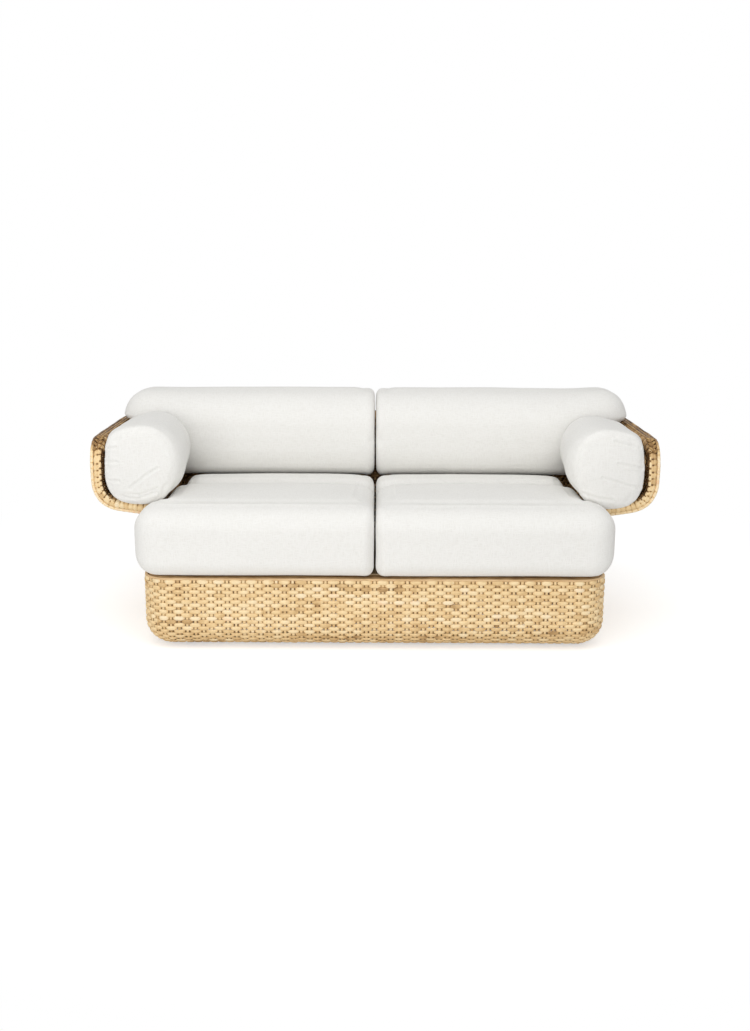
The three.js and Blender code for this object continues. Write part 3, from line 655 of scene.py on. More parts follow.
def rim_plait(name, lo, hi):
    """Three strands plaited where the arm's edge turns into the rim, then laid side by side."""
    plait = Strands()
    index = np.arange(lo, hi, 2)
    s = np.maximum(edge_distance(edge_run) - knot_run, 0)
    laid = smoothstep(52.0, 84.0, s)
    for k, (shade, lie, wide) in enumerate(PLAIT):
        phase = 2 * math.pi * (s / PLAIT_TURN + k / 3)
        o = mix(1.0 + 10.0 * np.sin(phase), lie + 0.8 * np.sin(s / 37.0 + k), laid)
        f = mix(17.5 + 3.4 * np.sin(2 * phase), 17.8 - 0.012 * lie**2, laid)
        path = along_edge(o, f, lo, hi, 2)[0]
        # Painted shade where a strand dips under the others in the plait
        dip_shade = (0.45 * (1 - laid) * (0.5 - 0.5 * np.sin(2 * phase)))[index]
        tone = np.clip(mix(0.45, shade, laid[index]) + wobble(len(path), 0.07, 15) - dip_shade, 0, 1)
        plait.add(path, edge_front[index], mix(8.5, wide, laid[index]), 6.0, 8, tone)
    return plait.build(name)


start = int(np.argmax(edge_run > knot_run))
plait_pieces = [
    rim_plait("arm_rim_plait_right", start, join + 1),
    rim_plait("back_rim_plait", join, count - join),
    rim_plait("arm_rim_plait_left", count - join - 1, count - start),
]

# The low rim's strands under the cushions: depth in the wall, drop, sway, tone, width and thickness; the
# strands behind the first are painted dark as the shade under the cushions
LOW_STRANDS = [(5.2, 2.4, 0.6, 0.74, 8.0, 9.0)]
LOW_STRANDS += [(depth, 1.2, 0.3, 0.3, 8.4, 11.2) for depth in (16.8, 28.4, 40.0)]
braid = Strands()
place = np.linspace(FRONT_KNOTS[0], FRONT_KNOTS[5], 3 * FRONT_STEPS + 1)
for n, (depth, down, sway, shade, wide, thick) in enumerate(LOW_STRANDS):
    out = np.full(len(place), -depth)
    z = np.full(len(place), (BRAID_BOTTOM + LOW_RIM) / 2 - down)
    centre = plan(place, out, z, depth)
    outward = unit(plan(place, out + 1, z, depth - 1) - centre)
    wave = 0.45 * np.sin(place * 1.7 + n) + wobble(len(place), 0.25, 9)
    centre = centre + outward * (wave * sway)[:, None]
    tone = np.clip(shade + 0.06 * np.sin(place * 0.37 + n) + wobble(len(place), 0.05, 15), 0, 1)
    braid.add(centre, outward, wide + wobble(len(place), 0.2, 7), thick, 8, tone)
braid_piece = braid.build("front_rim_strands")

# No edge of a cushion's form is sharper than this
LEAST_RADIUS = 3.0


def pad_section(pad, inset, steps, across):
    """A rectangle with four rounded corners, as y and z."""
    low_f, low_r, high_r, high_f = [max(r - inset, LEAST_RADIUS) for r in pad["radii"]]
    front, rear = pad["front"] + inset, pad["rear"] - inset
    bottom, top = pad["bottom"] + inset, pad["top"] - inset
    right = math.pi / 2
    corners = [
        arc(front + low_f, bottom + low_f, low_f, 2 * right, 3 * right, steps),
        arc(rear - low_r, bottom + low_r, low_r, -right, 0, steps),
        arc(rear - high_r, top - high_r, high_r, 0, right, steps),
        arc(front + high_f, top - high_f, high_f, right, 2 * right, steps),
    ]
    s = np.arange(1, across)[:, None] / across
    parts = []
    for corner, after in zip(corners, corners[1:] + corners[:1]):
        parts += [corner, mix(corner[-1:], after[:1], s)]
    return np.concatenate(parts)


def pad_mesh(pad, layer, steps=8, across=14, along=40):
    """Rounded sections along x that draw in at both ends, all smaller by a layer."""
    inner, outer = pad["inner"] + layer, pad["outer"] - layer
    bottom, top = pad["bottom"] + layer, pad["top"] - layer
    inner_end, outer_end = [max(pad[key] - layer, LEAST_RADIUS) for key in ("inner_end", "outer_end")]
    a = math.pi / 2 * np.arange(steps + 1) / steps
    stations = [(inner + inner_end * (1 - math.cos(t)), inner_end * (1 - math.sin(t))) for t in a]
    stations += [(mix(inner + inner_end, outer - outer_end, k / along), 0.0) for k in range(1, along)]
    stations += [(outer - outer_end * (1 - math.cos(t)), outer_end * (1 - math.sin(t))) for t in a[::-1]]
    middle, half = (pad["front"] + pad["rear"]) / 2, (pad["rear"] - pad["front"]) / 2 - layer
    rows = []
    for x, inset in stations:
        y, z = pad_section(pad, layer + inset, steps, across).T
        lengthwise = (2 * x - inner - outer) / (outer - inner)
        sideways = (y - middle) / half
        rise = np.maximum((z - bottom) / (top - bottom), 0) ** 2
        z = z + pad["crown"] * rise * (1 - lengthwise**2) * (1 - sideways**2)
        rows.append(np.stack([np.full(len(z), x), y, z], -1))
    return loft(rows)


def loft(rows):
    """A closed form through rings of points, each end a fan about its middle."""
    rows = np.array(rows)
    n, count = rows.shape[:2]
    ends = np.array([rows[0].mean(0), rows[-1].mean(0)])
    co = np.concatenate([rows.reshape(-1, 3), ends])
    j = np.arange(count)
    beside = (j + 1) % count
    last = (n - 1) * count
    tris = np.concatenate([
        np.stack([np.full(count, n * count), beside, j], -1),
        np.stack([np.full(count, n * count + 1), last + j, last + beside], -1),
    ])
    return co, tube_faces(n, count)[0], tris


BOLSTER_X, BOLSTER_Z, BOLSTER_RADIUS, BOLSTER_DOME = 714.0, 556.3, 122.0, 10.0
BOLSTER = {"front": 141.0, "rear": 463.0, "end": 16.0}


def bolster_mesh(form, layer, steps=8, sides=72, along=24, domed=6):
    """A lying cylinder with rounded edges and slightly domed ends, smaller by a layer."""
    radius, end = BOLSTER_RADIUS - layer, form["end"] - layer
    front, rear = form["front"] + layer, form["rear"] - layer
    flat, inset = radius - end, BOLSTER_DOME + end
    shares = [k / (domed + 1) for k in range(1, domed + 1)]
    half = [(BOLSTER_DOME * share**2, flat * share) for share in shares]
    half += [(y, r) for y, r in arc(inset, flat, end, math.pi, math.pi / 2, steps)]
    rows = [(front + y, r) for y, r in half]
    rows += [(mix(front + inset, rear - inset, k / along), radius) for k in range(1, along)]
    rows += [(rear - y, r) for y, r in half[::-1]]
    angle = 2 * math.pi * np.arange(sides) / sides
    east, up = np.sin(angle), np.cos(angle)
    rings = [np.stack([r * east + BOLSTER_X, np.full(sides, y), r * up + BOLSTER_Z], -1) for y, r in rows]
    return loft(rings)


def take_modifiers(obj):
    """The object's mesh becomes what its modifiers show."""
    depsgraph = bpy.context.evaluated_depsgraph_get()
    shown = bpy.data.meshes.new_from_object(obj.evaluated_get(depsgraph))
    obj.modifiers.clear()
    old = obj.data
    obj.data = shown
    bpy.data.meshes.remove(old)


def voxelled(name, meshes, size):
    """One even mesh round several closed forms."""
    co, quads, tris, count = [], [], [], 0
    for c, q, t in meshes:
        co.append(c)
        quads.append(q + count)
        tris.append(t + count)
        count += len(c)
    co, quads, tris = [np.concatenate(a) for a in (co, quads, tris)]
    obj = mesh_object(name, in_frame(co), quads, tris)
    remesh = obj.modifiers.new("voxels", "REMESH")
    remesh.mode = "VOXEL"
    remesh.voxel_size = size * MM
    remesh.use_smooth_shade = True
    take_modifiers(obj)
    return obj


def coordinates(obj, key="co"):
    out = np.zeros(len(obj.data.vertices) * 3)
    obj.data.vertices.foreach_get(key, out)
    return out.reshape(-1, 3)


def set_coordinates(obj, co):
    obj.data.vertices.foreach_set("co", np.asarray(co, np.float32).ravel())
    obj.data.update()


def puff(obj, pressure, cap, slack, frames=20):
    """Cloth under pressure, with the way each point may go capped."""
    before = coordinates(obj)
    cloth = obj.modifiers.new("puff", "CLOTH")
    settings = cloth.settings
    settings.quality = 4
    settings.mass = 0.3
    settings.tension_stiffness = 12
    settings.compression_stiffness = 12
    settings.shear_stiffness = 5
    settings.bending_stiffness = 0.4
    settings.use_pressure = True
    settings.uniform_pressure_force = pressure
    settings.effector_weights.gravity = 0
    settings.shrink_min = -slack
    cloth.collision_settings.use_collision = False
    cloth.point_cache.frame_start = 1
    cloth.point_cache.frame_end = frames
    for f in range(1, frames + 1):
        scene.frame_set(f)
    after = coordinates(obj.evaluated_get(bpy.context.evaluated_depsgraph_get()))
    obj.modifiers.clear()
    move = after - before
    size = np.linalg.norm(move, axis=1, keepdims=True)
    move *= np.minimum(1, cap * MM / np.maximum(size, 1e-9))
    set_coordinates(obj, before + move)
    scene.frame_set(1)


def held_near(obj, target, over, under):
    """No point stands further than over out of the target's surface, nor deeper than under in it."""
    tree = BVHTree.FromObject(target, bpy.context.evaluated_depsgraph_get())
    co = coordinates(obj)
    for i, p in enumerate(co):
        spot, normal, _, _ = tree.find_nearest(Vector(p))
        d = (Vector(p) - spot).dot(normal)
        if d > over[i]:
            co[i] = p + np.array(normal) * (over[i] - d)
        elif d < -under[i]:
            co[i] = p + np.array(normal) * (-under[i] - d)
    set_coordinates(obj, co)


def smoothed(obj, rounds):
    smooth = obj.modifiers.new("smooth", "SMOOTH")
    smooth.factor = 0.5
    smooth.iterations = rounds
    take_modifiers(obj)


def subdivided(obj):
    sub = obj.modifiers.new("sub", "SUBSURF")
    sub.levels = 1
    sub.render_levels = 1
    take_modifiers(obj)


def segment_distance(co, start, end):
    """From each point to the line between two places, in millimetres."""
    a, b = in_frame([start, end])
    share = np.clip((co - a) @ (b - a) / np.dot(b - a, b - a), 0, 1)
    return np.linalg.norm(co - (a + share[:, None] * (b - a)), axis=1) / MM


# How far a cover may stand out of its full forms
COVER_OVER = 2.0


def held_to(obj, target, over, under, zip_line):
    """Held near the target, and tight to it by the zip and at the middle of the sofa."""
    co = coordinates(obj)
    by_zip = np.clip((segment_distance(co, *zip_line) - 22.0) / 25.0, 0, 1)
    by_middle = np.clip((np.abs(co[:, 0]) / MM - 8.0) / 40.0, 0, 1)
    loose = np.minimum(by_zip, by_middle)
    held_near(obj, target, mix(0.1, over, loose) * MM, mix(0.4, under, loose) * MM)


def cushion(name, build, forms, zip_line, voxel, shrink, pressure, cap, under, slack=0.0):
    """A cover blown up from its smaller forms and held near the full ones."""
    target = voxelled(name + "_target", [build(form, 0.0) for form in forms], voxel)
    body = voxelled(name, [build(form, shrink) for form in forms], voxel)
    puff(body, pressure, cap, slack)
    held_to(body, target, COVER_OVER, under, zip_line)
    smoothed(body, 2)
    held_to(body, target, COVER_OVER, under, zip_line)
    subdivided(body)
    bpy.data.objects.remove(target)
    return body


PAD_KEYS = ("inner_end", "outer", "outer_end", "front", "rear", "bottom", "top", "crown", "radii")


def pad_of(*values):
    """A pad's ends, sides and corner radii; the radii go from low in front round to high in front."""
    return dict(zip(PAD_KEYS, values), inner=2.3)


# A seat's front roll, lobe and pad, and a back roll
SEAT = [
    pad_of(22.0, 735.0, 76.0, -20.0, 140.0, 232.3, 447.3, 0.0, [40, 20, 26, 70]),
    pad_of(44.0, 662.0, 36.0, 72.0, 405.0, 232.3, 452.3, 9.0, [20, 20, 95, 26]),
    pad_of(30.0, 634.0, 30.0, 365.0, 575.0, 232.3, 453.3, 3.0, [20, 20, 88, 60]),
]
BACK = [pad_of(22.0, 830.0, 95.0, 470.0, 785.0, 434.3, 731.3, 3.7, [125] * 4)]
# Both ends of each zip of the right-hand covers
SEAT_ZIP = ((107.0, 575.0, 300.3), (527.0, 575.0, 300.3))
BACK_ZIP = ((165.0, 761.1, 485.8), (665.0, 761.1, 485.8))
BOLSTER_ZIP = ((799.2, 201.0, 471.1), (799.2, 403.0, 471.1))


def rest_on(obj, z):
    """Nothing hangs lower than what carries the cushion."""
    co = coordinates(obj)
    co[:, 2] = np.maximum(co[:, 2], z * MM)
    set_coordinates(obj, co)


def lean_over_rim(obj, reach, rise):
    """The outer end of a back roll bulges out over the arm's rim."""
    co = coordinates(obj)
    x, z = np.abs(co[:, 0]) / MM, co[:, 2] / MM
    shift = reach * smoothstep(600.0, 810.0, x) * smoothstep(618.0, 654.0, z)
    lift = rise * smoothstep(620.0, 790.0, x) * smoothstep(640.0, 715.0, z)
    co[:, 0] += np.sign(co[:, 0]) * shift * MM
    co[:, 2] += lift * MM
    set_coordinates(obj, co)


def fill_arm(obj, side):
    """A bolster is pressed outwards: it fills the arm's hollow and swells up over its rim."""
    co = coordinates(obj)
    x, y, z = (in_wall(co) * [side, 1, 1]).T
    dx, dz = x - BOLSTER_X, z - BOLSTER_Z
    reach = np.hypot(dx, dz) / BOLSTER_RADIUS
    turn = np.degrees(np.arctan2(dz, dx))
    front = 1 - smoothstep(155.0, 205.0, y)
    inner = np.clip(-dx / BOLSTER_RADIUS, 0, 1)
    low = mix(18.0, 25.0, 1 - smoothstep(160.0, 172.0, y)) * front * bell(turn + 42.0, 28.0)
    high = 15.0 * (1 - smoothstep(390.0, 450.0, y)) * bell(turn - 40.0, 21.0)
    out = (low + high) * np.clip(reach, 0, 1) ** 3 / np.maximum(reach * BOLSTER_RADIUS, 1)
    droop, flatter = (10.0, 0.0) if side < 0 else (19.0, 8.0)
    ahead = 22.0 * (1 - smoothstep(165.0, 260.0, y))
    sag = droop * (1 - smoothstep(146.0, 160.0, y - ahead)) * (1 - smoothstep(440.0, 510.0, z))
    sag += flatter * np.clip(dz / BOLSTER_RADIUS, 0, 1)
    beneath = np.clip(-dz / BOLSTER_RADIUS, 0, 1)
    pressed = 22.0 * smoothstep(170.0, 420.0, y) * inner * (1 + 0.4 * beneath)
    pressed += 26.0 * (1 - smoothstep(125.0, 215.0, y)) * inner**1.5
    pressed -= 0.5 * flatter * np.clip(dx / BOLSTER_RADIUS, 0, 1)
    co[:, 0] += side * (dx * out + pressed) * MM
    co[:, 1] -= ahead * MM
    co[:, 2] += (dz * out - sag) * MM
    set_coordinates(obj, co)


def pushed_out(obj, push):
    """Each point goes out along its normal, by millimetres."""
    set_coordinates(obj, coordinates(obj) + coordinates(obj, "normal") * (push * MM)[:, None])


def noise_shift(obj, size, scale, seed, stretch=(1, 1, 1)):
    """Small unevenness of the cloth."""
    co = coordinates(obj)
    offset = Vector((seed * 13.7, seed * 5.1, seed * 2.3))
    s = Vector(stretch) * scale
    values = np.array([noise.noise(Vector((p[0] * s[0], p[1] * s[1], p[2] * s[2])) + offset) for p in co])
    pushed_out(obj, values * size)


def mirrored_copy(obj, name):
    other = linked(name, obj.data.copy())
    co = coordinates(other)
    co[:, 0] *= -1
    set_coordinates(other, co)
    other.data.flip_normals()
    return other


# The voxels' size, the shrinking before the cloth is blown up, the pressure, and how far it may then go
PAD_CLOTH = {"voxel": 8.0, "shrink": 6.0, "pressure": 5.0, "cap": 22.0}
BOLSTER_CLOTH = {"voxel": 5.5, "shrink": 4.0, "pressure": 5.0, "cap": 14.0, "slack": 0.03}
seat_right = cushion("seat_cushion_right_cover", pad_mesh, SEAT, SEAT_ZIP, under=2.0, **PAD_CLOTH)
back_right = cushion("back_roll_right_cover", pad_mesh, BACK, BACK_ZIP, under=4.0, **PAD_CLOTH)
bolster_right = cushion(
    "bolster_right_cover", bolster_mesh, [BOLSTER], BOLSTER_ZIP, under=2.5, **BOLSTER_CLOTH
)
seat_left = mirrored_copy(seat_right, "seat_cushion_left_cover")
back_left = mirrored_copy(back_right, "back_roll_left_cover")
bolster_left = mirrored_copy(bolster_right, "bolster_left_cover")
lean_over_rim(back_right, reach=38.0, rise=9.0)
lean_over_rim(back_left, reach=37.0, rise=5.0)
fill_arm(bolster_right, 1)
fill_arm(bolster_left, -1)
for n, obj in enumerate((seat_right, seat_left, back_right, back_left)):
    noise_shift(obj, size=1.6, scale=9.0, seed=3 + n, stretch=(0.7, 1.3, 1.3))
for n, obj in enumerate((bolster_right, bolster_left)):
    noise_shift(obj, size=1.4, scale=16.0, seed=11 + n)

# Folds in the bolsters' front faces, as places across and up
RIGHT_FOLDS = [
    [(734.0, 634.0), (772.0, 622.0), (811.0, 613.0)],
    [(747.0, 565.0), (790.0, 556.0), (824.0, 549.0)],
    [(700.0, 521.0), (760.0, 502.0), (818.0, 486.5)],
    [(640.0, 470.0), (690.0, 456.0), (736.0, 450.0)],
]
LEFT_FOLDS = [
    [(-666.0, 546.0), (-703.0, 524.0), (-756.0, 482.0)],
    [(-790.0, 455.0), (-736.0, 447.0), (-676.0, 469.0)],
    [(-770.0, 463.0), (-728.0, 460.0), (-672.0, 481.0)],
    [(-828.0, 562.0), (-793.0, 563.0)],
    [(-824.0, 604.0), (-795.0, 607.0)],
    [(-822.0, 504.0), (-790.0, 503.0)],
]


def folded_front(obj, lines, depth, width):
    """Folds on a bolster's front face: a groove with a low ridge beside it."""
    co = coordinates(obj)
    x, y, z = in_wall(co).T
    flat = in_frame(np.stack([x, np.zeros(len(x)), z], -1))
    push = np.zeros(len(co))
    for line in lines:
        places = [(a, 0.0, c) for a, c in line]
        d = np.min([segment_distance(flat, *ends) for ends in zip(places, places[1:])], axis=0)
        groove = bell(d, width) - 0.45 * bell(d - 2.0 * width, width)
        push = np.where(np.abs(groove) > np.abs(push), groove, push)
    pushed_out(obj, -depth * push * (1 - smoothstep(150.0, 185.0, y)))


folded_front(bolster_right, RIGHT_FOLDS, depth=2.4, width=4.0)
folded_front(bolster_left, LEFT_FOLDS, depth=2.4, width=4.0)
# The heights that seats and back rolls rest on, and the line where a seat's front roll meets its lobe
DECK_Z, SEAT_Z = 232.35, 434.35
for obj, side in ((seat_right, 1), (seat_left, -1)):
    d = segment_distance(coordinates(obj), (side * 24.0, 98.0, 448.5), (side * 660.0, 98.0, 447.5))
    pushed_out(obj, -0.9 * bell(d, 4.0))
    rest_on(obj, DECK_Z)
for obj in (back_right, back_left):
    rest_on(obj, SEAT_Z)

# A zip's tape and teeth: number of sections, width, thickness, how far it stands out, how deep it is cut
TAPE = (60, 20.0, 1.2, 0.2, 0.0)
TEETH = (560, 4.4, 1.8, 0.7, 0.3)


def zip_strip(name, cover, line, side, count, width, thick, stand, cut):
    """A strip on the cover's surface along the line that the zip's slider runs on."""
    start, end = [np.array((side * x, y, z)) for x, y, z in line]
    tree = BVHTree.FromObject(cover, bpy.context.evaluated_depsgraph_get())
    path, normal = [], []
    for share in np.linspace(0, 1, count):
        spot, facing, _, _ = tree.find_nearest(Vector(in_frame([mix(start, end, share)])[0]))
        path.append(in_wall([spot])[0] + np.array(facing) * stand)
        normal.append(facing)
    strip = Strands()
    teeth = 1 + cut * np.sin(np.arange(count) * math.pi / 2)
    strip.add(path, np.array(normal), width * teeth, thick, 6, 0.5, square=0.4)
    return strip.build(name)


# Each cover: the kind of its nodes, its side, its body, its object and its zip's two pieces
covers = []
for kind, body, line, pair in (
    ("seat", "seat_cushion", SEAT_ZIP, (seat_right, seat_left)),
    ("back_roll", "back_roll", BACK_ZIP, (back_right, back_left)),
    ("bolster", "bolster", BOLSTER_ZIP, (bolster_right, bolster_left)),
):
    for side, sign, cover in zip(("right", "left"), (1, -1), pair):
        tape = zip_strip(f"{kind}_zip_tape_{side}", cover, line, sign, *TAPE)
        teeth = zip_strip(f"{kind}_zip_teeth_{side}", cover, line, sign, *TEETH)
        covers.append((kind, side, f"{body}_{side}", cover, tape, teeth))


def material(name):
    mat = bpy.data.materials.new(name)
    mat.use_nodes = True
    return mat, mat.node_tree, mat.node_tree.nodes["Principled BSDF"]


def feed(tree, target, inputs):
    """Each input gets a number or a colour, or a link from another node's output."""
    for key, value in inputs.items():
        if isinstance(value, bpy.types.NodeSocket):
            tree.links.new(value, target.inputs[key])
        else:
            target.inputs[key].default_value = value


def node(tree, kind, inputs=None):
    made = tree.nodes.new("ShaderNode" + kind)
    feed(tree, made, inputs or {})
    return made


def math_of(tree, operation, *values):
    made = tree.nodes.new("ShaderNodeMath")
    made.operation = operation
    feed(tree, made, dict(enumerate(values)))
    return made.outputs[0]


def attribute(tree, name, output):
    made = node(tree, "Attribute")
    made.attribute_name = name
    return made.outputs[output]


def grain_of(tree, place, scale, detail, distortion=0.0):
    """Noise; a scale of three numbers stretches it."""
    if isinstance(scale, tuple):
        place = node(tree, "Mapping", {"Scale": scale, "Vector": place}).outputs["Vector"]
        scale = 1.0
    inputs = {"Scale": scale, "Detail": detail, "Distortion": distortion, "Vector": place}
    return node(tree, "TexNoise", inputs).outputs["Fac"]


def colour_by(tree, shader, fac, stops):
    ramp = node(tree, "ValToRGB", {"Fac": fac})
    while len(ramp.color_ramp.elements) < len(stops):
        ramp.color_ramp.elements.new(0.5)
    for element, (at, color) in zip(ramp.color_ramp.elements, stops):
        element.position = at
        element.color = (*color, 1)
    feed(tree, shader, {"Base Color": ramp.outputs["Color"]})


def rough_by(tree, shader, fac, low, high):
    spread = node(tree, "MapRange", {"To Min": low, "To Max": high, "Value": fac})
    feed(tree, shader, {"Roughness": spread.outputs["Result"]})


def bump_by(tree, shader, fac, strength, distance):
    bump = node(tree, "Bump", {"Strength": strength, "Distance": distance, "Height": fac})
    feed(tree, shader, {"Normal": bump.outputs["Normal"]})


def cane_material(name, stops, fibre=1.0, rough=0.5):
    """Cane whose shade is its strand's tone, with fibres and patches laid along it."""
    mat, tree, shader = material(name)
    along = attribute(tree, "along", "Vector")
    grain = grain_of(tree, along, (0.035, 7.0, 3.7), 4.0)
    patches = grain_of(tree, along, (0.022, 0.6, 5.3), 2.0)
    shade = math_of(tree, "MULTIPLY_ADD", grain, 0.34 * fibre, attribute(tree, "tone", "Fac"))
    shade = math_of(tree, "MULTIPLY_ADD", patches, 0.5, shade)
    colour_by(tree, shader, math_of(tree, "ADD", shade, -0.42), stops)
    rough_by(tree, shader, grain, rough - 0.08, rough + 0.14)
    bump_by(tree, shader, grain, 0.35, 0.0006)
    feed(tree, shader, {"Specular IOR Level": 0.35})
    return mat


CANE_STOPS = [
    (0.0, (0.10, 0.045, 0.012)),
    (0.13, (0.34, 0.19, 0.075)),
    (0.3, (0.66, 0.44, 0.205)),
    (0.46, (0.84, 0.61, 0.32)),
    (0.62, (0.91, 0.71, 0.42)),
    (0.82, (0.94, 0.78, 0.53)),
    (1.0, (0.90, 0.63, 0.38)),
]
RIM_STOPS = [
    (0.0, (0.095, 0.038, 0.012)),
    (0.3, (0.29, 0.155, 0.05)),
    (0.6, (0.56, 0.36, 0.14)),
    (1.0, (0.84, 0.62, 0.34)),
]
LOW_RIM_STOPS = [
    (0.0, (0.16, 0.08, 0.025)),
    (0.5, (0.62, 0.39, 0.18)),
    (1.0, (0.86, 0.63, 0.37)),
]
FABRIC_STOPS = [
    (0.35, (0.765, 0.752, 0.718)),
    (0.55, (0.815, 0.806, 0.776)),
    (0.8, (0.845, 0.838, 0.812)),
]


def fabric_material(name):
    """Cloth with threads both ways."""
    mat, tree, shader = material(name)
    place = node(tree, "TexCoord").outputs["Object"]
    warp = grain_of(tree, place, (60.0, 420.0, 420.0), 3.0)
    weft = grain_of(tree, place, (420.0, 60.0, 60.0), 3.0)
    threads = math_of(tree, "MAXIMUM", warp, weft)
    colour_by(tree, shader, threads, FABRIC_STOPS)
    bump_by(tree, shader, threads, 0.35, 0.0012)
    feed(tree, shader, {"Roughness": 0.92, "Specular IOR Level": 0.2})
    feed(tree, shader, {"Sheen Weight": 0.12, "Sheen Roughness": 0.5})
    return mat


def wood_material(name, light, dark, scale, rough=0.55):
    mat, tree, shader = material(name)
    grain = grain_of(tree, node(tree, "TexCoord").outputs["Object"], scale, 6.0, 0.6)
    colour_by(tree, shader, grain, [(0.3, dark), (0.6, light)])
    bump_by(tree, shader, grain, 0.25, 0.0008)
    rough_by(tree, shader, grain, rough - 0.1, rough + 0.15)
    return mat


def plain_material(name, light, dark, scale, rough, metal=0.0):
    mat, tree, shader = material(name)
    grain = grain_of(tree, node(tree, "TexCoord").outputs["Object"], scale, 3.0)
    colour_by(tree, shader, grain, [(0.35, dark), (0.65, light)])
    rough_by(tree, shader, grain, rough - 0.08, rough + 0.1)
    feed(tree, shader, {"Metallic": metal})
    return mat


cane = cane_material("woven_cane_finish", CANE_STOPS)
wrapped = cane_material("wrapped_cane_finish", CANE_STOPS, 0.8)
plaited = cane_material("plaited_rim_finish", RIM_STOPS)
low_rim = cane_material("low_rim_finish", LOW_RIM_STOPS, 0.6)
fabric = fabric_material("cover_fabric_finish")
pole_finish = wood_material("cane_pole_finish", (0.66, 0.48, 0.26), (0.42, 0.28, 0.13), (30, 30, 30))
slat_finish = wood_material("deck_wood_finish", (0.62, 0.47, 0.28), (0.45, 0.31, 0.17), (60, 5, 60))
glide_finish = plain_material("glide_plastic_finish", (0.05, 0.045, 0.04), (0.03, 0.028, 0.026), 300, 0.5)
tape_finish = plain_material("zip_tape_finish", (0.74, 0.72, 0.68), (0.66, 0.64, 0.6), 500, 0.85)
zip_finish = plain_material("zip_metal_finish", (0.55, 0.55, 0.53), (0.42, 0.42, 0.41), 900, 0.35, 1.0)


def paint(obj, mat):
    obj.data.materials.clear()
    obj.data.materials.append(mat)


SLOT_FINISH = {
    "cane_pole": pole_finish,
    "deck_wood": slat_finish,
    "glide_plastic": glide_finish,
    "zip_metal": zip_finish,
    "woven_cane": cane,
    "wrapped_cane": wrapped,
    "cover_fabric": fabric,
    "core_filling": fabric,
}
node_slot = {s["node"]: s["material_slot"] for s in frame["record"]["subparts"]}
for name, obj in frame["nodes"].items():
    paint(obj, SLOT_FINISH[node_slot[name]])


def place_piece(obj, mat, body, slot, *nodes):
    """The piece's look, its body, and the nodes that it shows in their stead; its slot is not used."""
    paint(obj, mat)
    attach(obj, body)
    if nodes:
        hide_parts(*nodes)


skins = ["front_weave", "side_weave_right", "side_weave_left", "back_weave"]
for obj in base_pieces:
    place_piece(obj, cane, "frame", "woven_cane", *skins)
for obj in high_pieces:
    place_piece(obj, cane, "frame", "woven_cane", *skins[1:])
place_piece(stake_piece, cane, "frame", "woven_cane", *skins)
place_piece(lining_piece, cane, "frame", "woven_cane", "arm_lining_right", "arm_lining_left", "back_lining")
place_piece(wrap_right, wrapped, "frame", "wrapped_cane", "arm_edge_wrap_right")
place_piece(wrap_left, wrapped, "frame", "wrapped_cane", "arm_edge_wrap_left")
place_piece(wrap_back, wrapped, "frame", "wrapped_cane", "back_rim_wrap")
edge_nodes = ("arm_edge_wrap_right", "back_rim_wrap", "arm_edge_wrap_left")
for pieces, mat in ((cord_pieces, cane), (plait_pieces, plaited)):
    for obj, edge_node in zip(pieces, edge_nodes):
        place_piece(obj, mat, "frame", "wrapped_cane", edge_node)
place_piece(braid_piece, low_rim, "frame", "wrapped_cane", "front_rim_braid")
for kind, side, body, cover, _, _ in covers:
    place_piece(cover, fabric, body, "cover_fabric", f"{kind}_cover_{side}", f"{kind}_core_{side}")
for _, _, body, _, tape, teeth in covers:
    place_piece(tape, tape_finish, body, "cover_fabric")
    place_piece(teeth, zip_finish, body, "zip_metal")

# The photograph's camera: pitch and roll in degrees, focal length and the frame's height in pixels
CAMERA_PITCH, CAMERA_ROLL = 13.14, 0.25
FOCAL, FRAME_HEIGHT, SENSOR = 1150.0, 1031.0, 36.0
camera = linked("camera", bpy.data.cameras.new("camera"))
camera.location = (0.0, -3.760, 1.209)
tilt = Matrix.Rotation(math.radians(90 - CAMERA_PITCH), 3, "X")
camera.rotation_euler = (tilt @ Matrix.Rotation(math.radians(CAMERA_ROLL), 3, "Z")).to_euler()
camera.data.sensor_width = SENSOR
camera.data.lens = SENSOR * FOCAL / FRAME_HEIGHT
camera.data.clip_end = 60.0
scene.camera = camera


WHITE = (1, 1, 1, 1)


def area_light(name, location, target, size, power):
    data = bpy.data.lights.new(name, "AREA")
    data.shape = "RECTANGLE"
    data.size, data.size_y = size
    data.energy = power
    obj = linked(name, data)
    obj.location = location
    obj.rotation_euler = (Vector(target) - Vector(location)).to_track_quat("-Z", "Y").to_euler()


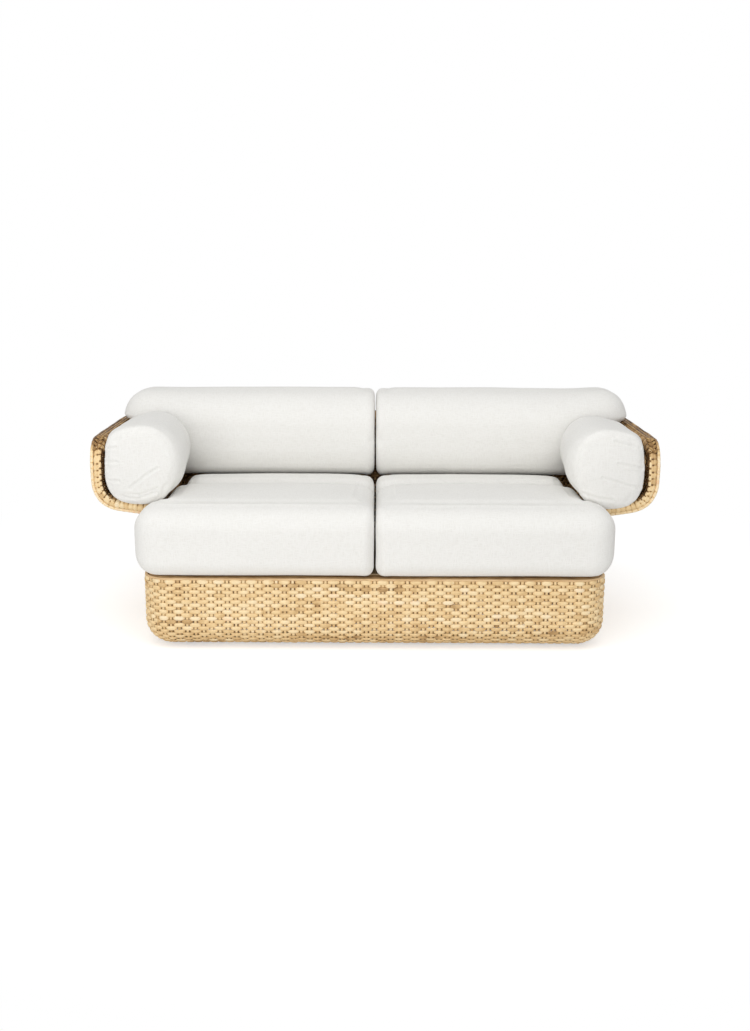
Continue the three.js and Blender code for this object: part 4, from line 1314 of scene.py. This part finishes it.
area_light("front_softbox", (-0.6, -4.4, 0.85), (0, 0, 0.4), (3.8, 1.3), 66)
area_light("left_softbox", (-3.4, -1.6, 1.5), (0, 0, 0.45), (1.8, 1.8), 8)
area_light("top_softbox", (0.0, -1.1, 3.5), (0, 0, 0.4), (3.0, 2.2), 33)

# The object is lit by an even world, and the camera sees it white
world = bpy.data.worlds.new("studio")
scene.world = world
world.use_nodes = True
tree = world.node_tree
ambient = tree.nodes["Background"]
feed(tree, ambient, {"Color": WHITE, "Strength": 0.58})
seen = node(tree, "Background", {"Color": WHITE, "Strength": 1.0})
rays = node(tree, "LightPath").outputs
shown = math_of(tree, "MAXIMUM", rays["Is Camera Ray"], rays["Is Transmission Ray"])
shown = math_of(tree, "MAXIMUM", shown, rays["Is Glossy Ray"])
choose = node(tree, "MixShader", {0: shown, 1: ambient.outputs[0], 2: seen.outputs[0]})
feed(tree, tree.nodes["World Output"], {"Surface": choose.outputs[0]})

# A pale floor that keeps the sofa's shadow and fades to white further out
FADE_FROM, FADE_TO = 1.0, 2.2
floor = mesh_object("floor", [(-20, -20, 0), (20, -20, 0), (20, 20, 0), (-20, 20, 0)], [(0, 1, 2, 3)])
floor_mat, tree, shader = material("floor_finish")
feed(tree, shader, {"Base Color": (0.8, 0.8, 0.8, 1), "Roughness": 0.9, "Specular IOR Level": 0.0})
camera_ray = node(tree, "LightPath").outputs["Is Camera Ray"]
glow = node(tree, "Emission", {"Color": WHITE, "Strength": math_of(tree, "MULTIPLY", camera_ray, 0.5)})
lit = node(tree, "AddShader", {0: shader.outputs[0], 1: glow.outputs[0]})
white = node(tree, "Emission", {"Color": WHITE})
reach = node(tree, "VectorMath")
reach.operation = "LENGTH"
feed(tree, reach, {0: node(tree, "TexCoord").outputs["Object"]})
fade = node(tree, "MapRange")
fade.interpolation_type = "SMOOTHSTEP"
feed(tree, fade, {"From Min": FADE_FROM, "From Max": FADE_TO, "Value": reach.outputs["Value"]})
far = math_of(tree, "MULTIPLY", fade.outputs["Result"], camera_ray)
ground = node(tree, "MixShader", {0: far, 1: lit.outputs[0], 2: white.outputs[0]})
feed(tree, tree.nodes["Material Output"], {"Surface": ground.outputs[0]})
paint(floor, floor_mat)

scene.view_settings.view_transform = "Standard"
